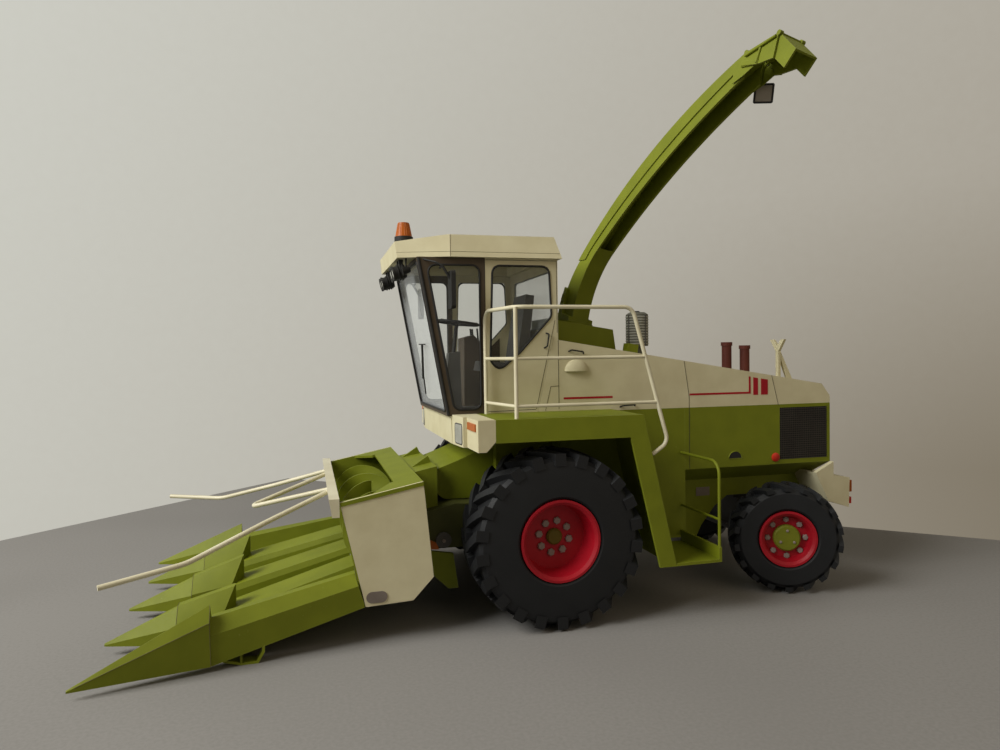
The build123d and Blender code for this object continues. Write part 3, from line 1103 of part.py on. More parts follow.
# ================================================================================================
# ORIGIN AND EXPORT
# ================================================================================================
# the library keeps this model with its origin under the middle of its overall box, on the table
boxes = [piece.bounding_box() for piece in PIECES]
low = Vector(min(b.min.X for b in boxes), min(b.min.Y for b in boxes), min(b.min.Z for b in boxes))
high = Vector(max(b.max.X for b in boxes), max(b.max.Y for b in boxes), max(b.max.Z for b in boxes))
origin_shift = Location((-(low.X + high.X) / 2, -(low.Y + high.Y) / 2, -low.Z))
print("origin shift", origin_shift.position, "overall", high - low)
for name, place in (("slew centre", slew_top.origin), ("flap axis", spout_plane.z_dir),
                    ("inner flap hinge", spout_plane.from_local_coords(hinge_one)),
                    ("outer flap hinge", spout_plane.from_local_coords(hinge_two)),
                    ("track rod pivot", pins[0]), ("hitch pin", Vector(HITCH_X, 0, HITCH_Z)),
                    ("stand face", Vector(-48, 0, HULL_FLOOR_Z))):
    print(name, *(round(v, 5) for v in place))
for piece in PIECES:
    piece.location = origin_shift * piece.location
    export_step(piece, f"parts/{piece.label}.step")
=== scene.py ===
# %% [markdown]
# # A card model of a forage harvester, 1:25
# The real object is a paper model: printed sheets of card cut out, folded and glued into hull, cab,
# header and spout, with wheels of rolled and laminated card and rails of painted wire. The CAD model
# holds every piece at its true size, so this script only finishes it: it dresses the CAD nodes in card,
# film and wire finishes, and adds what is too small for CAD, such as tread lugs, nuts, seams and trim.
# Everything here is measured in bench millimetres: X forward and Y to the machine's left, from the
# middle of the front axle, Z up from the table.

# %% Load the frame
import json
import bpy, bmesh
from math import cos, pi, radians, sin
from mathutils import Matrix, Vector


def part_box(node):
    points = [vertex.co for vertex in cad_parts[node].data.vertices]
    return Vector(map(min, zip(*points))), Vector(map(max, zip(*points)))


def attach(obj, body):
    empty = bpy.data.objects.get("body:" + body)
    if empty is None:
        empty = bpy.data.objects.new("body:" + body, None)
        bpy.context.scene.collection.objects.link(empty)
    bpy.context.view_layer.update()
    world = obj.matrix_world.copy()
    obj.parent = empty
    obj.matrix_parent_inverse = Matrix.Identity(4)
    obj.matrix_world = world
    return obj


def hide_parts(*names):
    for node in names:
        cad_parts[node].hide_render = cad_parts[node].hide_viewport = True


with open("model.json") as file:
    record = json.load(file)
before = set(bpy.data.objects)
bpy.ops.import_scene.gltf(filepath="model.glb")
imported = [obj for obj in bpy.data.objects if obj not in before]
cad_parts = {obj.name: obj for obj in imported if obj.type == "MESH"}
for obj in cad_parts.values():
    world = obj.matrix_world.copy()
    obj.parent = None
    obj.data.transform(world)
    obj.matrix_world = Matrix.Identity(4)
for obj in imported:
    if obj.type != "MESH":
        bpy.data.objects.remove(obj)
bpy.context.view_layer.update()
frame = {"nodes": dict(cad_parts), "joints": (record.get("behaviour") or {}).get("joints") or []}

nodes = frame["nodes"]

# %% [markdown]
# ## Bench millimetres
# The frame keeps its origin under the middle of the whole model, in metres. A maker works from a
# datum on the piece instead, so one matrix turns bench millimetres into the frame. The datum is the
# middle of the front axle at table level, found from the boxes of the two front tyres.

# %% Datum on the front axle
left_low, left_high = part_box("front_left_tyre")
right_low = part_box("front_right_tyre")[0]
DATUM = Vector(((left_low.x + left_high.x) / 2, (left_high.y + right_low.y) / 2, left_low.z))
BENCH = Matrix.Translation(DATUM) @ Matrix.Diagonal((0.001, 0.001, 0.001, 1))


def at(x, y, z):
    """A bench point in millimetres as a frame point in metres."""
    return BENCH @ Vector((x, y, z))


print("datum in the frame, mm:", [round(1000 * c, 3) for c in DATUM])

# %% [markdown]
# ## Camera
# The camera comes first, because every finish is judged through it. It stands low beside the front
# left wheel with a wide lens, close enough that the header nose swells towards the eye. A matrix built
# from its own axes keeps the slight roll of a camera held by hand.

# %% Camera
CAMERA_AT = (83.4, 294.8, 95.9)
YAW, PITCH, ROLL = radians(14.78), radians(1.57), radians(-0.84)
level_look = Vector((-sin(YAW), -cos(YAW), 0))
level_right = Vector((-cos(YAW), sin(YAW), 0))
look = cos(PITCH) * level_look - sin(PITCH) * Vector((0, 0, 1))
level_up = sin(PITCH) * level_look + cos(PITCH) * Vector((0, 0, 1))
right = cos(ROLL) * level_right + sin(ROLL) * level_up
up = cos(ROLL) * level_up - sin(ROLL) * level_right
camera = bpy.data.objects.new("camera", bpy.data.cameras.new("camera"))
camera.data.lens, camera.data.sensor_width = 26.30, 36
camera.data.clip_start, camera.data.clip_end = 0.01, 50
camera.matrix_world = Matrix((
    (right.x, up.x, -look.x, at(*CAMERA_AT).x), (right.y, up.y, -look.y, at(*CAMERA_AT).y),
    (right.z, up.z, -look.z, at(*CAMERA_AT).z), (0, 0, 0, 1)))
bpy.context.collection.objects.link(camera)
bpy.context.scene.camera = camera
bpy.context.scene.view_settings.view_transform = "Standard"
print("camera to datum, mm:", round(1000 * (camera.location - DATUM).length))

# %% [markdown]
# ## Node trees
# Materials and Geometry Nodes are both trees of nodes, so one small helper serves both: it adds a
# node, sets its options, and fills each input with a number or with a link from another node. Colours
# are written as sRGB hex, the way a paint chart gives them, and turned linear once.

# %% Helpers for trees and colours
def add(tree, kind, inputs=None, **settings):
    """One node; inputs maps an input's name or number to a value or to another node's output."""
    node = tree.nodes.new(kind)
    for key, value in settings.items():
        setattr(node, key, value)
    for key, value in (inputs or {}).items():
        if isinstance(value, bpy.types.NodeSocket):
            tree.links.new(value, node.inputs[key])
        else:
            node.inputs[key].default_value = value
    return node


def linear(code):
    """Hex sRGB colour as linear RGBA."""
    parts = [int(code[i:i + 2], 16) / 255 for i in (1, 3, 5)]
    return (*[p / 12.92 if p <= 0.04045 else ((p + 0.055) / 1.055) ** 2.4 for p in parts], 1)


def grain(size_mm):
    """Noise scale, in cycles a metre, for a pattern that repeats about every size_mm."""
    return 1000 / size_mm


# %% [markdown]
# ## Printed card
# Card has a felt of paper fibres under a thin skin of ink. Three things sell it: a matt, slightly
# uneven gloss; ink that lies a little thicker and thinner in clouds a few millimetres wide; and pale
# specks where the ink has worn off the fibres. Real fibres are 0.03 mm wide, far too fine to show,
# so the fibre noise here is drawn at 0.5 mm and the bump kept low. Folds and cut edges are painted
# pale: partly worn fibre, partly a painted highlight where a fold catches the light. A Bevel node
# finds them by comparing a rounded normal with the flat one.

# %% A function for card finishes
def card(name, ink, shade, fibre_and_highlight, gloss=0.62, speck=0.30, edge=0.5):
    """Printed card: ink is the main colour, shade its thicker print, fibre_and_highlight the pale colour of
    worn fibre and of the painted highlight on folds.
    """
    material = bpy.data.materials.new(name)
    material.use_nodes = True
    tree = material.node_tree
    tree.nodes.clear()
    place = add(tree, "ShaderNodeTexCoord").outputs["Object"]
    clouds = add(tree, "ShaderNodeTexNoise", {"Vector": place, "Scale": grain(9), "Detail": 3})
    fibres = add(tree, "ShaderNodeTexNoise", {"Vector": place, "Scale": grain(0.5), "Detail": 2})
    rubs = add(tree, "ShaderNodeTexNoise", {"Vector": place, "Scale": grain(1.6), "Detail": 5,
                                            "Roughness": 0.7})
    # ink clouds
    cloudy = add(tree, "ShaderNodeMapRange", {"Value": clouds.outputs[0], "From Min": 0.35, "From Max": 0.65})
    inked = add(tree, "ShaderNodeMix", {0: cloudy.outputs[0], 6: linear(ink), 7: linear(shade)},
                data_type="RGBA")
    # folds and edges: pale worn fibre, and a painted highlight where a fold catches the light
    soft = add(tree, "ShaderNodeBevel", {"Radius": 0.00022}, samples=4)
    flat = add(tree, "ShaderNodeNewGeometry")
    agree = add(tree, "ShaderNodeVectorMath", {0: soft.outputs[0], 1: flat.outputs["Normal"]},
                operation="DOT_PRODUCT")
    fold = add(tree, "ShaderNodeMapRange", {"Value": agree.outputs["Value"], "From Min": 0.99,
                                            "From Max": 0.80, "To Max": edge})
    patchy = add(tree, "ShaderNodeMapRange", {"Value": rubs.outputs[0], "From Min": 0.35, "From Max": 0.6})
    fold = add(tree, "ShaderNodeMath", {0: fold.outputs[0], 1: patchy.outputs[0]}, operation="MULTIPLY")
    # specks of bare fibre
    specks = add(tree, "ShaderNodeMapRange", {"Value": rubs.outputs[0], "From Min": 0.66, "From Max": 0.74,
                                              "To Max": speck})
    # pale where specks are worn, and on folds where wear and painted highlight are laid together
    wear_and_highlight = add(tree, "ShaderNodeMath", {0: fold.outputs[0], 1: specks.outputs[0]}, operation="MAXIMUM")
    colour = add(tree, "ShaderNodeMix", {0: wear_and_highlight.outputs[0], 6: inked.outputs[2], 7: linear(fibre_and_highlight)},
                 data_type="RGBA")
    sheen = add(tree, "ShaderNodeMapRange", {"Value": fibres.outputs[0], "To Min": gloss - 0.09,
                                             "To Max": gloss + 0.09})
    bump = add(tree, "ShaderNodeBump", {"Height": fibres.outputs[0], "Strength": 0.22, "Distance": 0.00008})
    skin = add(tree, "ShaderNodeBsdfPrincipled",
               {"Base Color": colour.outputs[2], "Roughness": sheen.outputs[0],
                "Specular IOR Level": 0.32, "IOR": 1.47, "Normal": bump.outputs[0]})
    add(tree, "ShaderNodeOutputMaterial", {"Surface": skin.outputs[0]})
    return material


# %% The card colours of this model
# leaf green of hull, header and spout: yellowish and matt
green_card = card("printed card leaf green", "#727a12", "#6b730e", "#a8ae62")
# warm cream of cab, hood and end plates: the paper shows through, so it is nearly the paper's own colour
cream_card = card("printed card cream", "#cfc8a6", "#c7bf9c", "#e2dcc4", speck=0.15, edge=0.35)
# signal red of rims and stripes: a dense ink, a little glossier
red_card = card("printed card signal red", "#a40f20", "#970b1b", "#b94a57", gloss=0.5, speck=0.12, edge=0.45)
# soot black of tyres: laminated discs inked by hand, with pale scuffs
tyre_card = card("laminated card soot black", "#151618", "#111214", "#41413f", gloss=0.62, speck=0.20,
                 edge=0.35)
# umber of the cab's corner panels, windscreen frame, console and door linings
brown_card = card("printed card umber", "#4f4334", "#463b2d", "#786a56")
# slate of seat, steering boot, floor mat, undercarriage and pulleys
slate_card = card("printed card slate", "#55534f", "#4b4946", "#86837d")
# rust of the exhaust stacks
rust_card = card("printed card rust", "#5c2a1f", "#4e2219", "#7e5142")
# olive of the small front hub discs
olive_card = card("printed card olive", "#5a4e0b", "#524709", "#8d8148")
# yellow-green of the large rear hub caps
lime_card = card("printed card lime", "#6f7418", "#676c14", "#9ea25c")
# warm grey of nuts, hub bolts and pulley pins
nut_card = card("printed card nut grey", "#8d817b", "#80756f", "#b0a69f")
# near black of seals, handles, grilles, mirrors and lamp housings
black_card = card("printed card black", "#201f1d", "#1a1917", "#4c4944", speck=0.1, edge=0.3)
# amber of beacon, indicators and pulley guards
amber_card = card("printed card amber", "#b05905", "#a05004", "#ba701e", gloss=0.42, speck=0.04, edge=0.3)
# lamp red of brake lamps and side reflectors
lamp_red_card = card("printed card lamp red", "#c8321c", "#b12513", "#dd7a66", gloss=0.35, speck=0.05,
                     edge=0.2)
# pale grey of lamp lenses and the air screen's hoops
silver_card = card("printed card silver", "#a9a99f", "#97978d", "#cbcbc3", gloss=0.4)
# darker olive of the drive case under the feeder: painted shade for the shadow it hangs in
painted_shade_olive_card = card("dark olive card with painted shade", "#45471c", "#3d3f18", "#7f825a")
# grey green of the air screen's wire cloth, between its pale hoops
sieve_card = card("printed card sieve grey", "#6f6f63", "#626257", "#96968a")
# scored lines: ink worn off the fold, so they are brown rather than black
score_card = card("scored card fold", "#625741", "#574d39", "#8a7e66", speck=0.1, edge=0.2)
# cream card of the narrow spout rest, whose folded edges get almost none of the pale wear and painted
# highlight
rest_card = card("printed card folded cream", "#cfc8a6", "#c7bf9c", "#d8d1b4", edge=0.05)
# brown grey of reflector ovals and blank plates
ash_card = card("printed card ash", "#7d746c", "#6f665e", "#a09890", gloss=0.45)
# beige grey of the spout lamp's lens
lens_card = card("printed card lens beige", "#9a9184", "#8a8174", "#c0b9ae", gloss=0.4, speck=0.4)
print("card finishes:", len([m for m in bpy.data.materials if " card" in m.name]))

# %% [markdown]
# ## Painted wire and clear film
# Rails and crop rods are steel wire brushed with cream enamel: smoother than card, with a soft
# highlight and faint brush streaks. The windows are acetate film, which stays clear but picks up a
# slight grey and a broad weak reflection, so most light passes straight through.

# %% Wire and film finishes
def enamel(name, colour, shade):
    """Brushed enamel on wire: half-gloss with faint streaks about 0.8 mm long."""
    material = bpy.data.materials.new(name)
    material.use_nodes = True
    tree = material.node_tree
    tree.nodes.clear()
    place = add(tree, "ShaderNodeTexCoord").outputs["Object"]
    streaks = add(tree, "ShaderNodeTexNoise", {"Vector": place, "Scale": grain(0.8), "Detail": 3})
    drift = add(tree, "ShaderNodeTexNoise", {"Vector": place, "Scale": grain(14), "Detail": 1})
    thick = add(tree, "ShaderNodeMapRange", {"Value": drift.outputs[0], "From Min": 0.35, "From Max": 0.65})
    tint = add(tree, "ShaderNodeMix", {0: thick.outputs[0], 6: linear(colour), 7: linear(shade)},
               data_type="RGBA")
    gloss = add(tree, "ShaderNodeMapRange", {"Value": streaks.outputs[0], "To Min": 0.32, "To Max": 0.5})
    bump = add(tree, "ShaderNodeBump", {"Height": streaks.outputs[0], "Strength": 0.25, "Distance": 0.00005})
    skin = add(tree, "ShaderNodeBsdfPrincipled",
               {"Base Color": tint.outputs[2], "Roughness": gloss.outputs[0], "Normal": bump.outputs[0]})
    add(tree, "ShaderNodeOutputMaterial", {"Surface": skin.outputs[0]})
    return material


cream_enamel = enamel("brushed enamel cream", "#d8d2b6", "#cbc4a6")

clear_film = bpy.data.materials.new("acetate film")
clear_film.use_nodes = True
tree = clear_film.node_tree
tree.nodes.clear()
place = add(tree, "ShaderNodeTexCoord").outputs["Object"]
ripple = add(tree, "ShaderNodeTexNoise", {"Vector": place, "Scale": grain(18), "Detail": 1})
wave = add(tree, "ShaderNodeBump", {"Height": ripple.outputs[0], "Strength": 0.15, "Distance": 0.0003})
through = add(tree, "ShaderNodeBsdfTransparent", {"Color": linear("#fdfefe")})
shine = add(tree, "ShaderNodeBsdfPrincipled", {"Base Color": linear("#e2e6e8"), "Roughness": 0.22,
                                               "Normal": wave.outputs[0]})
glance = add(tree, "ShaderNodeFresnel", {"IOR": 1.45, "Normal": wave.outputs[0]})
veil = add(tree, "ShaderNodeMath", {0: glance.outputs[0], 1: 0.4, 2: 0.012}, operation="MULTIPLY_ADD")
film = add(tree, "ShaderNodeMixShader", {0: veil.outputs[0], 1: through.outputs[0], 2: shine.outputs[0]})
add(tree, "ShaderNodeOutputMaterial", {"Surface": film.outputs[0]})
print("film and enamel ready")

# %% [markdown]
# ## Dressing the CAD nodes
# Most CAD nodes already have the right shape, so they stay and only change their finish. A table of
# finish and node names keeps this readable; whatever the table leaves out is leaf green.

# %% Assign finishes to the CAD nodes
FINISHES = (
    (cream_card, ("cab_base", "left_door", "right_door", "cab_rear_wall", "cab_roof", "hood", "light_boxes",
                  "rear_bumper", "header_side_plates")),
    (rest_card, ("spout_rest",)),
    (brown_card, ("quarter_panels", "windscreen_frame")),
    (slate_card, ("driver_seat", "steering_column", "rear_axle", "left_knuckle", "right_knuckle", "track_rod",
                  "tow_hitch")),
    (black_card, ("grilles", "mirror", "work_lights", "spout_lamp")),
    (rust_card, ("exhausts",)),
    (amber_card, ("beacon",)),
    (sieve_card, ("air_screen",)),
    (cream_enamel, ("left_railing", "crop_bar")),
    (clear_film, ("cab_windows",)),
    (red_card, ("front_left_rim", "front_right_rim", "rear_left_rim", "rear_right_rim")),
)
finish_of = {name: finish for finish, names in FINISHES for name in names}
for name, obj in nodes.items():
    material = finish_of.get(name, green_card)
    if not obj.material_slots:
        obj.data.materials.append(material)
    for holder in obj.material_slots:
        holder.material = material
print("green by default:", len([n for n in nodes if n not in finish_of]))

# %% [markdown]
# ## Making small pieces
# Small trim is cut from the same card and wire as the rest. Three shapes cover nearly all of it: a
# plate is a flat outline with a thickness, a turned piece is a profile spun about an axis, and a wire
# follows a path. Plates and turned pieces are plain mesh code in bench millimetres; the wire is a
# Geometry Nodes tree further down. Every piece ends in keep(), which merges doubles, turns the faces
# outwards, brings it into the frame and says which body it rides on.

# %% Plate, turned piece and keep
def between(first, second):
    """The solid between two outlines with equally many corners."""
    count = len(first)
    faces = [tuple(range(count)), tuple(reversed(range(count, 2 * count)))]
    faces += [(i, (i + 1) % count, (i + 1) % count + count, i + count) for i in range(count)]
    return [Vector(c) for c in (*first, *second)], faces


def plate(corners, push):
    """A flat outline in bench millimetres, pushed to its thickness."""
    return between(corners, [Vector(c) + Vector(push) for c in corners])


def turned(profile, steps, closed=True):
    """(radius, along) points spun about Y: closed gives a ring, open starts and ends on the axis."""
    verts, faces = [], []
    rows = len(profile)
    for i in range(steps):
        a = 2 * pi * i / steps
        verts += [Vector((r * sin(a), y, r * cos(a))) for r, y in profile]
    for i in range(steps):
        j = (i + 1) % steps
        for k in range(rows if closed else rows - 1):
            m = (k + 1) % rows
            faces.append((i * rows + k, i * rows + m, j * rows + m, j * rows + k))
    return verts, faces


def joined(parts):
    """Several pieces as one list of points and faces."""
    verts, faces = [], []
    for part_verts, part_faces in parts:
        faces += [tuple(i + len(verts) for i in face) for face in part_faces]
        verts += part_verts
    return verts, faces


def mesh_of(name, part, matrix=Matrix.Identity(4)):
    """Points and faces (or edges, as pairs) as a mesh, moved by a matrix in bench millimetres."""
    verts, faces = part
    edges = [f for f in faces if len(f) == 2]
    mesh = bpy.data.meshes.new(name)
    mesh.from_pydata([matrix @ Vector(v) for v in verts], edges, [f for f in faces if len(f) > 2])
    return mesh


kept = []


def keep(name, mesh, material, body, smooth=None):
    """A finished piece in the frame, on its body. smooth is the angle below which edges are soft."""
    shaper = bmesh.new()
    shaper.from_mesh(mesh)
    bmesh.ops.remove_doubles(shaper, verts=shaper.verts, dist=0.002)
    bmesh.ops.dissolve_degenerate(shaper, dist=0.0005, edges=shaper.edges)
    bmesh.ops.recalc_face_normals(shaper, faces=shaper.faces)
    for face in shaper.faces:
        face.smooth = smooth is not None
    shaper.to_mesh(mesh)
    shaper.free()
    if smooth is not None:
        mesh.set_sharp_from_angle(angle=radians(smooth))
    mesh.transform(BENCH)
    mesh.name = name
    mesh.materials.clear()
    mesh.materials.append(material)
    piece = bpy.data.objects.new(name, mesh)
    bpy.context.collection.objects.link(piece)
    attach(piece, body)
    kept.append((name, len(mesh.polygons)))
    return piece


# %% [markdown]
# ## Three Geometry Nodes trees
# What repeats or follows a path is left to Geometry Nodes. The ring tree copies one shape round an
# axis, for lugs, nuts and ribs. The row tree copies it along a line, for grille wires and sieve rings.
# The wire tree bends a path of straight edges with a fillet and gives it a round section, for
# handles, seams, window seals and lamp rims. Each ends in Realize Instances and Set Material, and grow()
# turns the result into a plain mesh before the piece is kept.

# %% Build the trees
def new_tree(name, sockets):
    """An empty Geometry Nodes tree with named inputs; returns it with its input and output nodes."""
    tree = bpy.data.node_groups.new(name, "GeometryNodeTree")
    tree.interface.new_socket("Geometry", in_out="OUTPUT", socket_type="NodeSocketGeometry")
    tree.interface.new_socket("Geometry", in_out="INPUT", socket_type="NodeSocketGeometry")
    for label, kind in sockets:
        tree.interface.new_socket(label, in_out="INPUT", socket_type=kind)
    tree.interface.new_socket("Material", in_out="INPUT", socket_type="NodeSocketMaterial")
    return tree, tree.nodes.new("NodeGroupInput"), tree.nodes.new("NodeGroupOutput")


def close_tree(tree, geometry, source, sink):
    """Every tree ends in Realize Instances and Set Material, because the export drops instances."""
    real = add(tree, "GeometryNodeRealizeInstances", {"Geometry": geometry})
    painted = add(tree, "GeometryNodeSetMaterial",
                  {"Geometry": real.outputs[0], "Material": source.outputs["Material"]})
    tree.links.new(painted.outputs[0], sink.inputs[0])


ring_tree, source, sink = new_tree("ring of copies", (("Count", "NodeSocketInt"),))
spots = add(ring_tree, "GeometryNodePoints", {"Count": source.outputs["Count"]})
index = add(ring_tree, "GeometryNodeInputIndex")
share = add(ring_tree, "ShaderNodeMath", {0: index.outputs[0], 1: source.outputs["Count"]},
            operation="DIVIDE")
angle = add(ring_tree, "ShaderNodeMath", {0: share.outputs[0], 1: 2 * pi}, operation="MULTIPLY")
euler = add(ring_tree, "ShaderNodeCombineXYZ", {"Y": angle.outputs[0]})
turn = add(ring_tree, "FunctionNodeEulerToRotation", {0: euler.outputs[0]})
copies = add(ring_tree, "GeometryNodeInstanceOnPoints",
             {"Points": spots.outputs[0], "Instance": source.outputs["Geometry"],
              "Rotation": turn.outputs[0]})
close_tree(ring_tree, copies.outputs[0], source, sink)

row_tree, source, sink = new_tree("row of copies", (("Count", "NodeSocketInt"), ("Step", "NodeSocketVector")))
spots = add(row_tree, "GeometryNodeMeshLine",
            {"Count": source.outputs["Count"], "Offset": source.outputs["Step"]}, mode="OFFSET")
copies = add(row_tree, "GeometryNodeInstanceOnPoints",
             {"Points": spots.outputs[0], "Instance": source.outputs["Geometry"]})
close_tree(row_tree, copies.outputs[0], source, sink)

WIRE_INPUTS = (("Bend", "NodeSocketFloat"), ("Gauge", "NodeSocketFloat"), ("Sides", "NodeSocketInt"))
wire_tree, source, sink = new_tree("wire along a path", WIRE_INPUTS)
path = add(wire_tree, "GeometryNodeMeshToCurve", {"Mesh": source.outputs["Geometry"]})
bent = add(wire_tree, "GeometryNodeFilletCurve",
           {"Curve": path.outputs[0], "Count": 5, "Radius": source.outputs["Bend"], "Limit Radius": True},
           mode="POLY")
section = add(wire_tree, "GeometryNodeCurvePrimitiveCircle",
              {"Resolution": source.outputs["Sides"], "Radius": source.outputs["Gauge"]}, mode="RADIUS")
tube = add(wire_tree, "GeometryNodeCurveToMesh",
           {"Curve": bent.outputs[0], "Profile Curve": section.outputs[0], "Fill Caps": True})
close_tree(wire_tree, tube.outputs[0], source, sink)


def grow(tree, mesh, material, **values):
    """Runs a tree on a mesh and returns the result as a plain mesh."""
    carrier = bpy.data.objects.new("carrier", mesh)
    bpy.context.collection.objects.link(carrier)
    modifier = carrier.modifiers.new("grow", "NODES")
    modifier.node_group = tree
    for item in tree.interface.items_tree:
        if item.in_out == "INPUT" and item.name in values:
            modifier[item.identifier] = values[item.name]
        if item.in_out == "INPUT" and item.name == "Material":
            modifier[item.identifier] = material
    result = bpy.data.meshes.new_from_object(carrier.evaluated_get(bpy.context.evaluated_depsgraph_get()))
    bpy.data.objects.remove(carrier)
    return result


def path_of(*points, loop=False):
    """A path of straight edges for the wire tree."""
    count = len(points)
    return [Vector(p) for p in points], [(i, (i + 1) % count) for i in range(count if loop else count - 1)]


def wires(paths, material, gauge, bend, sides=8):
    """Several paths as one mesh of round wire; gauge is the wire's radius."""
    return grow(wire_tree, mesh_of("paths", joined(paths)), material, Gauge=gauge, Bend=bend, Sides=sides)


def wire_piece(name, paths, material, gauge, bend=0.0, sides=8, body="machine", smooth=60):
    """A finished piece of round wire."""
    return keep(name, wires(paths, material, gauge, bend, sides), material, body, smooth)


print("trees:", [t.name for t in bpy.data.node_groups])

# %% [markdown]
# ## Tyres
# A card tyre is a stack of discs with a strip rolled round it, and the lugs are small folded blocks
# glued on in two staggered rows that meet in a V. The CAD tyre is a plain drum, right for collision
# but bare to look at, so a new tyre replaces it: a turned carcass that stays below the lug height,
# and lugs copied round it by the ring tree. The lugs reach exactly the CAD radius, so the model stands
# on them. On the way down the front of the wheel the middle end of each lug leads.

# %% One lug and one carcass
def lug(radius, base, side_base, near, far, lead, half_near, half_far, drop):
    """A tread lug from the shoulder at y=near to the middle at y=far, swept round by lead radians."""
    verts, rows = [], 5
    for k in range(rows):
        t = k / (rows - 1)
        y, mid = near + (far - near) * t, lead * t
        half = (half_near + (half_far - half_near) * t) / radius
        top = radius - drop * (1 - t) ** 2
        low = side_base if k == 0 else base
        for r, a in ((low, mid - half), (low, mid + half), (top, mid + 0.84 * half),
                     (top, mid - 0.84 * half)):
            verts.append(Vector((r * sin(a), y, r * cos(a))))
    faces = [(0, 1, 2, 3), tuple(4 * (rows - 1) + i for i in (3, 2, 1, 0))]
    for k in range(rows - 1):
        faces += [(4 * k + i, 4 * k + (i + 1) % 4, 4 * k + 4 + (i + 1) % 4, 4 * k + 4 + i) for i in range(4)]
    return verts, faces


# nut_turn is in degrees and sweep in radians; a disc lies that far inside the outer face
WHEEL_SIZES = {
    "front": dict(radius=31.35, width=24.0, rim=14.35, disc=9.0, lugs=22, base=28.9, side_base=26.2,
                  half_near=2.3, half_far=1.7, sweep=0.24, nut_ring=5.7, nut=1.4, nut_turn=-12.0,
                  cap_rise=1.4, cap_r=2.8),
    "rear": dict(radius=21.7, width=14.0, rim=11.0, disc=4.5, lugs=18, base=19.75, side_base=19.0,
                 half_near=1.6, half_far=1.2, sweep=0.20, nut_ring=7.25, nut=1.2, nut_turn=1.0,
                 cap_rise=2.2, cap_r=5.1),
}
FRONT_FACE_Y = 59.0   # outer face of the front tyres, from the middle of the machine
REAR_REACH = 18.0     # kingpin to the outer face of a rear tyre
LUG_DROP = 0.9        # how far a lug's top falls at the shoulder
CARCASS_STEPS, NUTS, HUB_BOLTS = 88, 8, 3
joints = {joint["name"]: joint for joint in frame["joints"]}
print("front joint:", joints["front_left_roll"])

# %% [markdown]
# Each wheel is modelled lying along its own axle, Y out of the outer face, and set in place by one
# matrix. The axle's line comes from the wheel's rolling joint, so the rear wheels keep the turn they
# were left in.

# %% Build the four tyres, with nuts and hub caps
def wheel_matrix(end, side):
    """Wheel coordinates to bench millimetres: the outer face at Y = 0, Y pointing outwards."""
    joint = joints[f"{end}_{'left' if side > 0 else 'right'}_roll"]
    axis = Vector(joint["axis"]) * side
    centre = BENCH.inverted() @ Vector(joint["pos_m"])
    reach = FRONT_FACE_Y * side - centre.y if end == "front" else REAR_REACH
    origin = centre + axis * abs(reach)
    across = axis.cross(Vector((0, 0, 1)))
    return Matrix(((across.x, axis.x, 0, origin.x), (across.y, axis.y, 0, origin.y),
                   (across.z, axis.z, 1, origin.z), (0, 0, 0, 1)))


def merged(meshes):
    """Several plain meshes as one."""
    shaper = bmesh.new()
    for mesh in meshes:
        shaper.from_mesh(mesh)
    result = bpy.data.meshes.new("merged")
    shaper.to_mesh(result)
    shaper.free()
    return result


def moved(mesh, matrix):
    """The same mesh, moved by a matrix in bench millimetres."""
    mesh.transform(matrix)
    return mesh


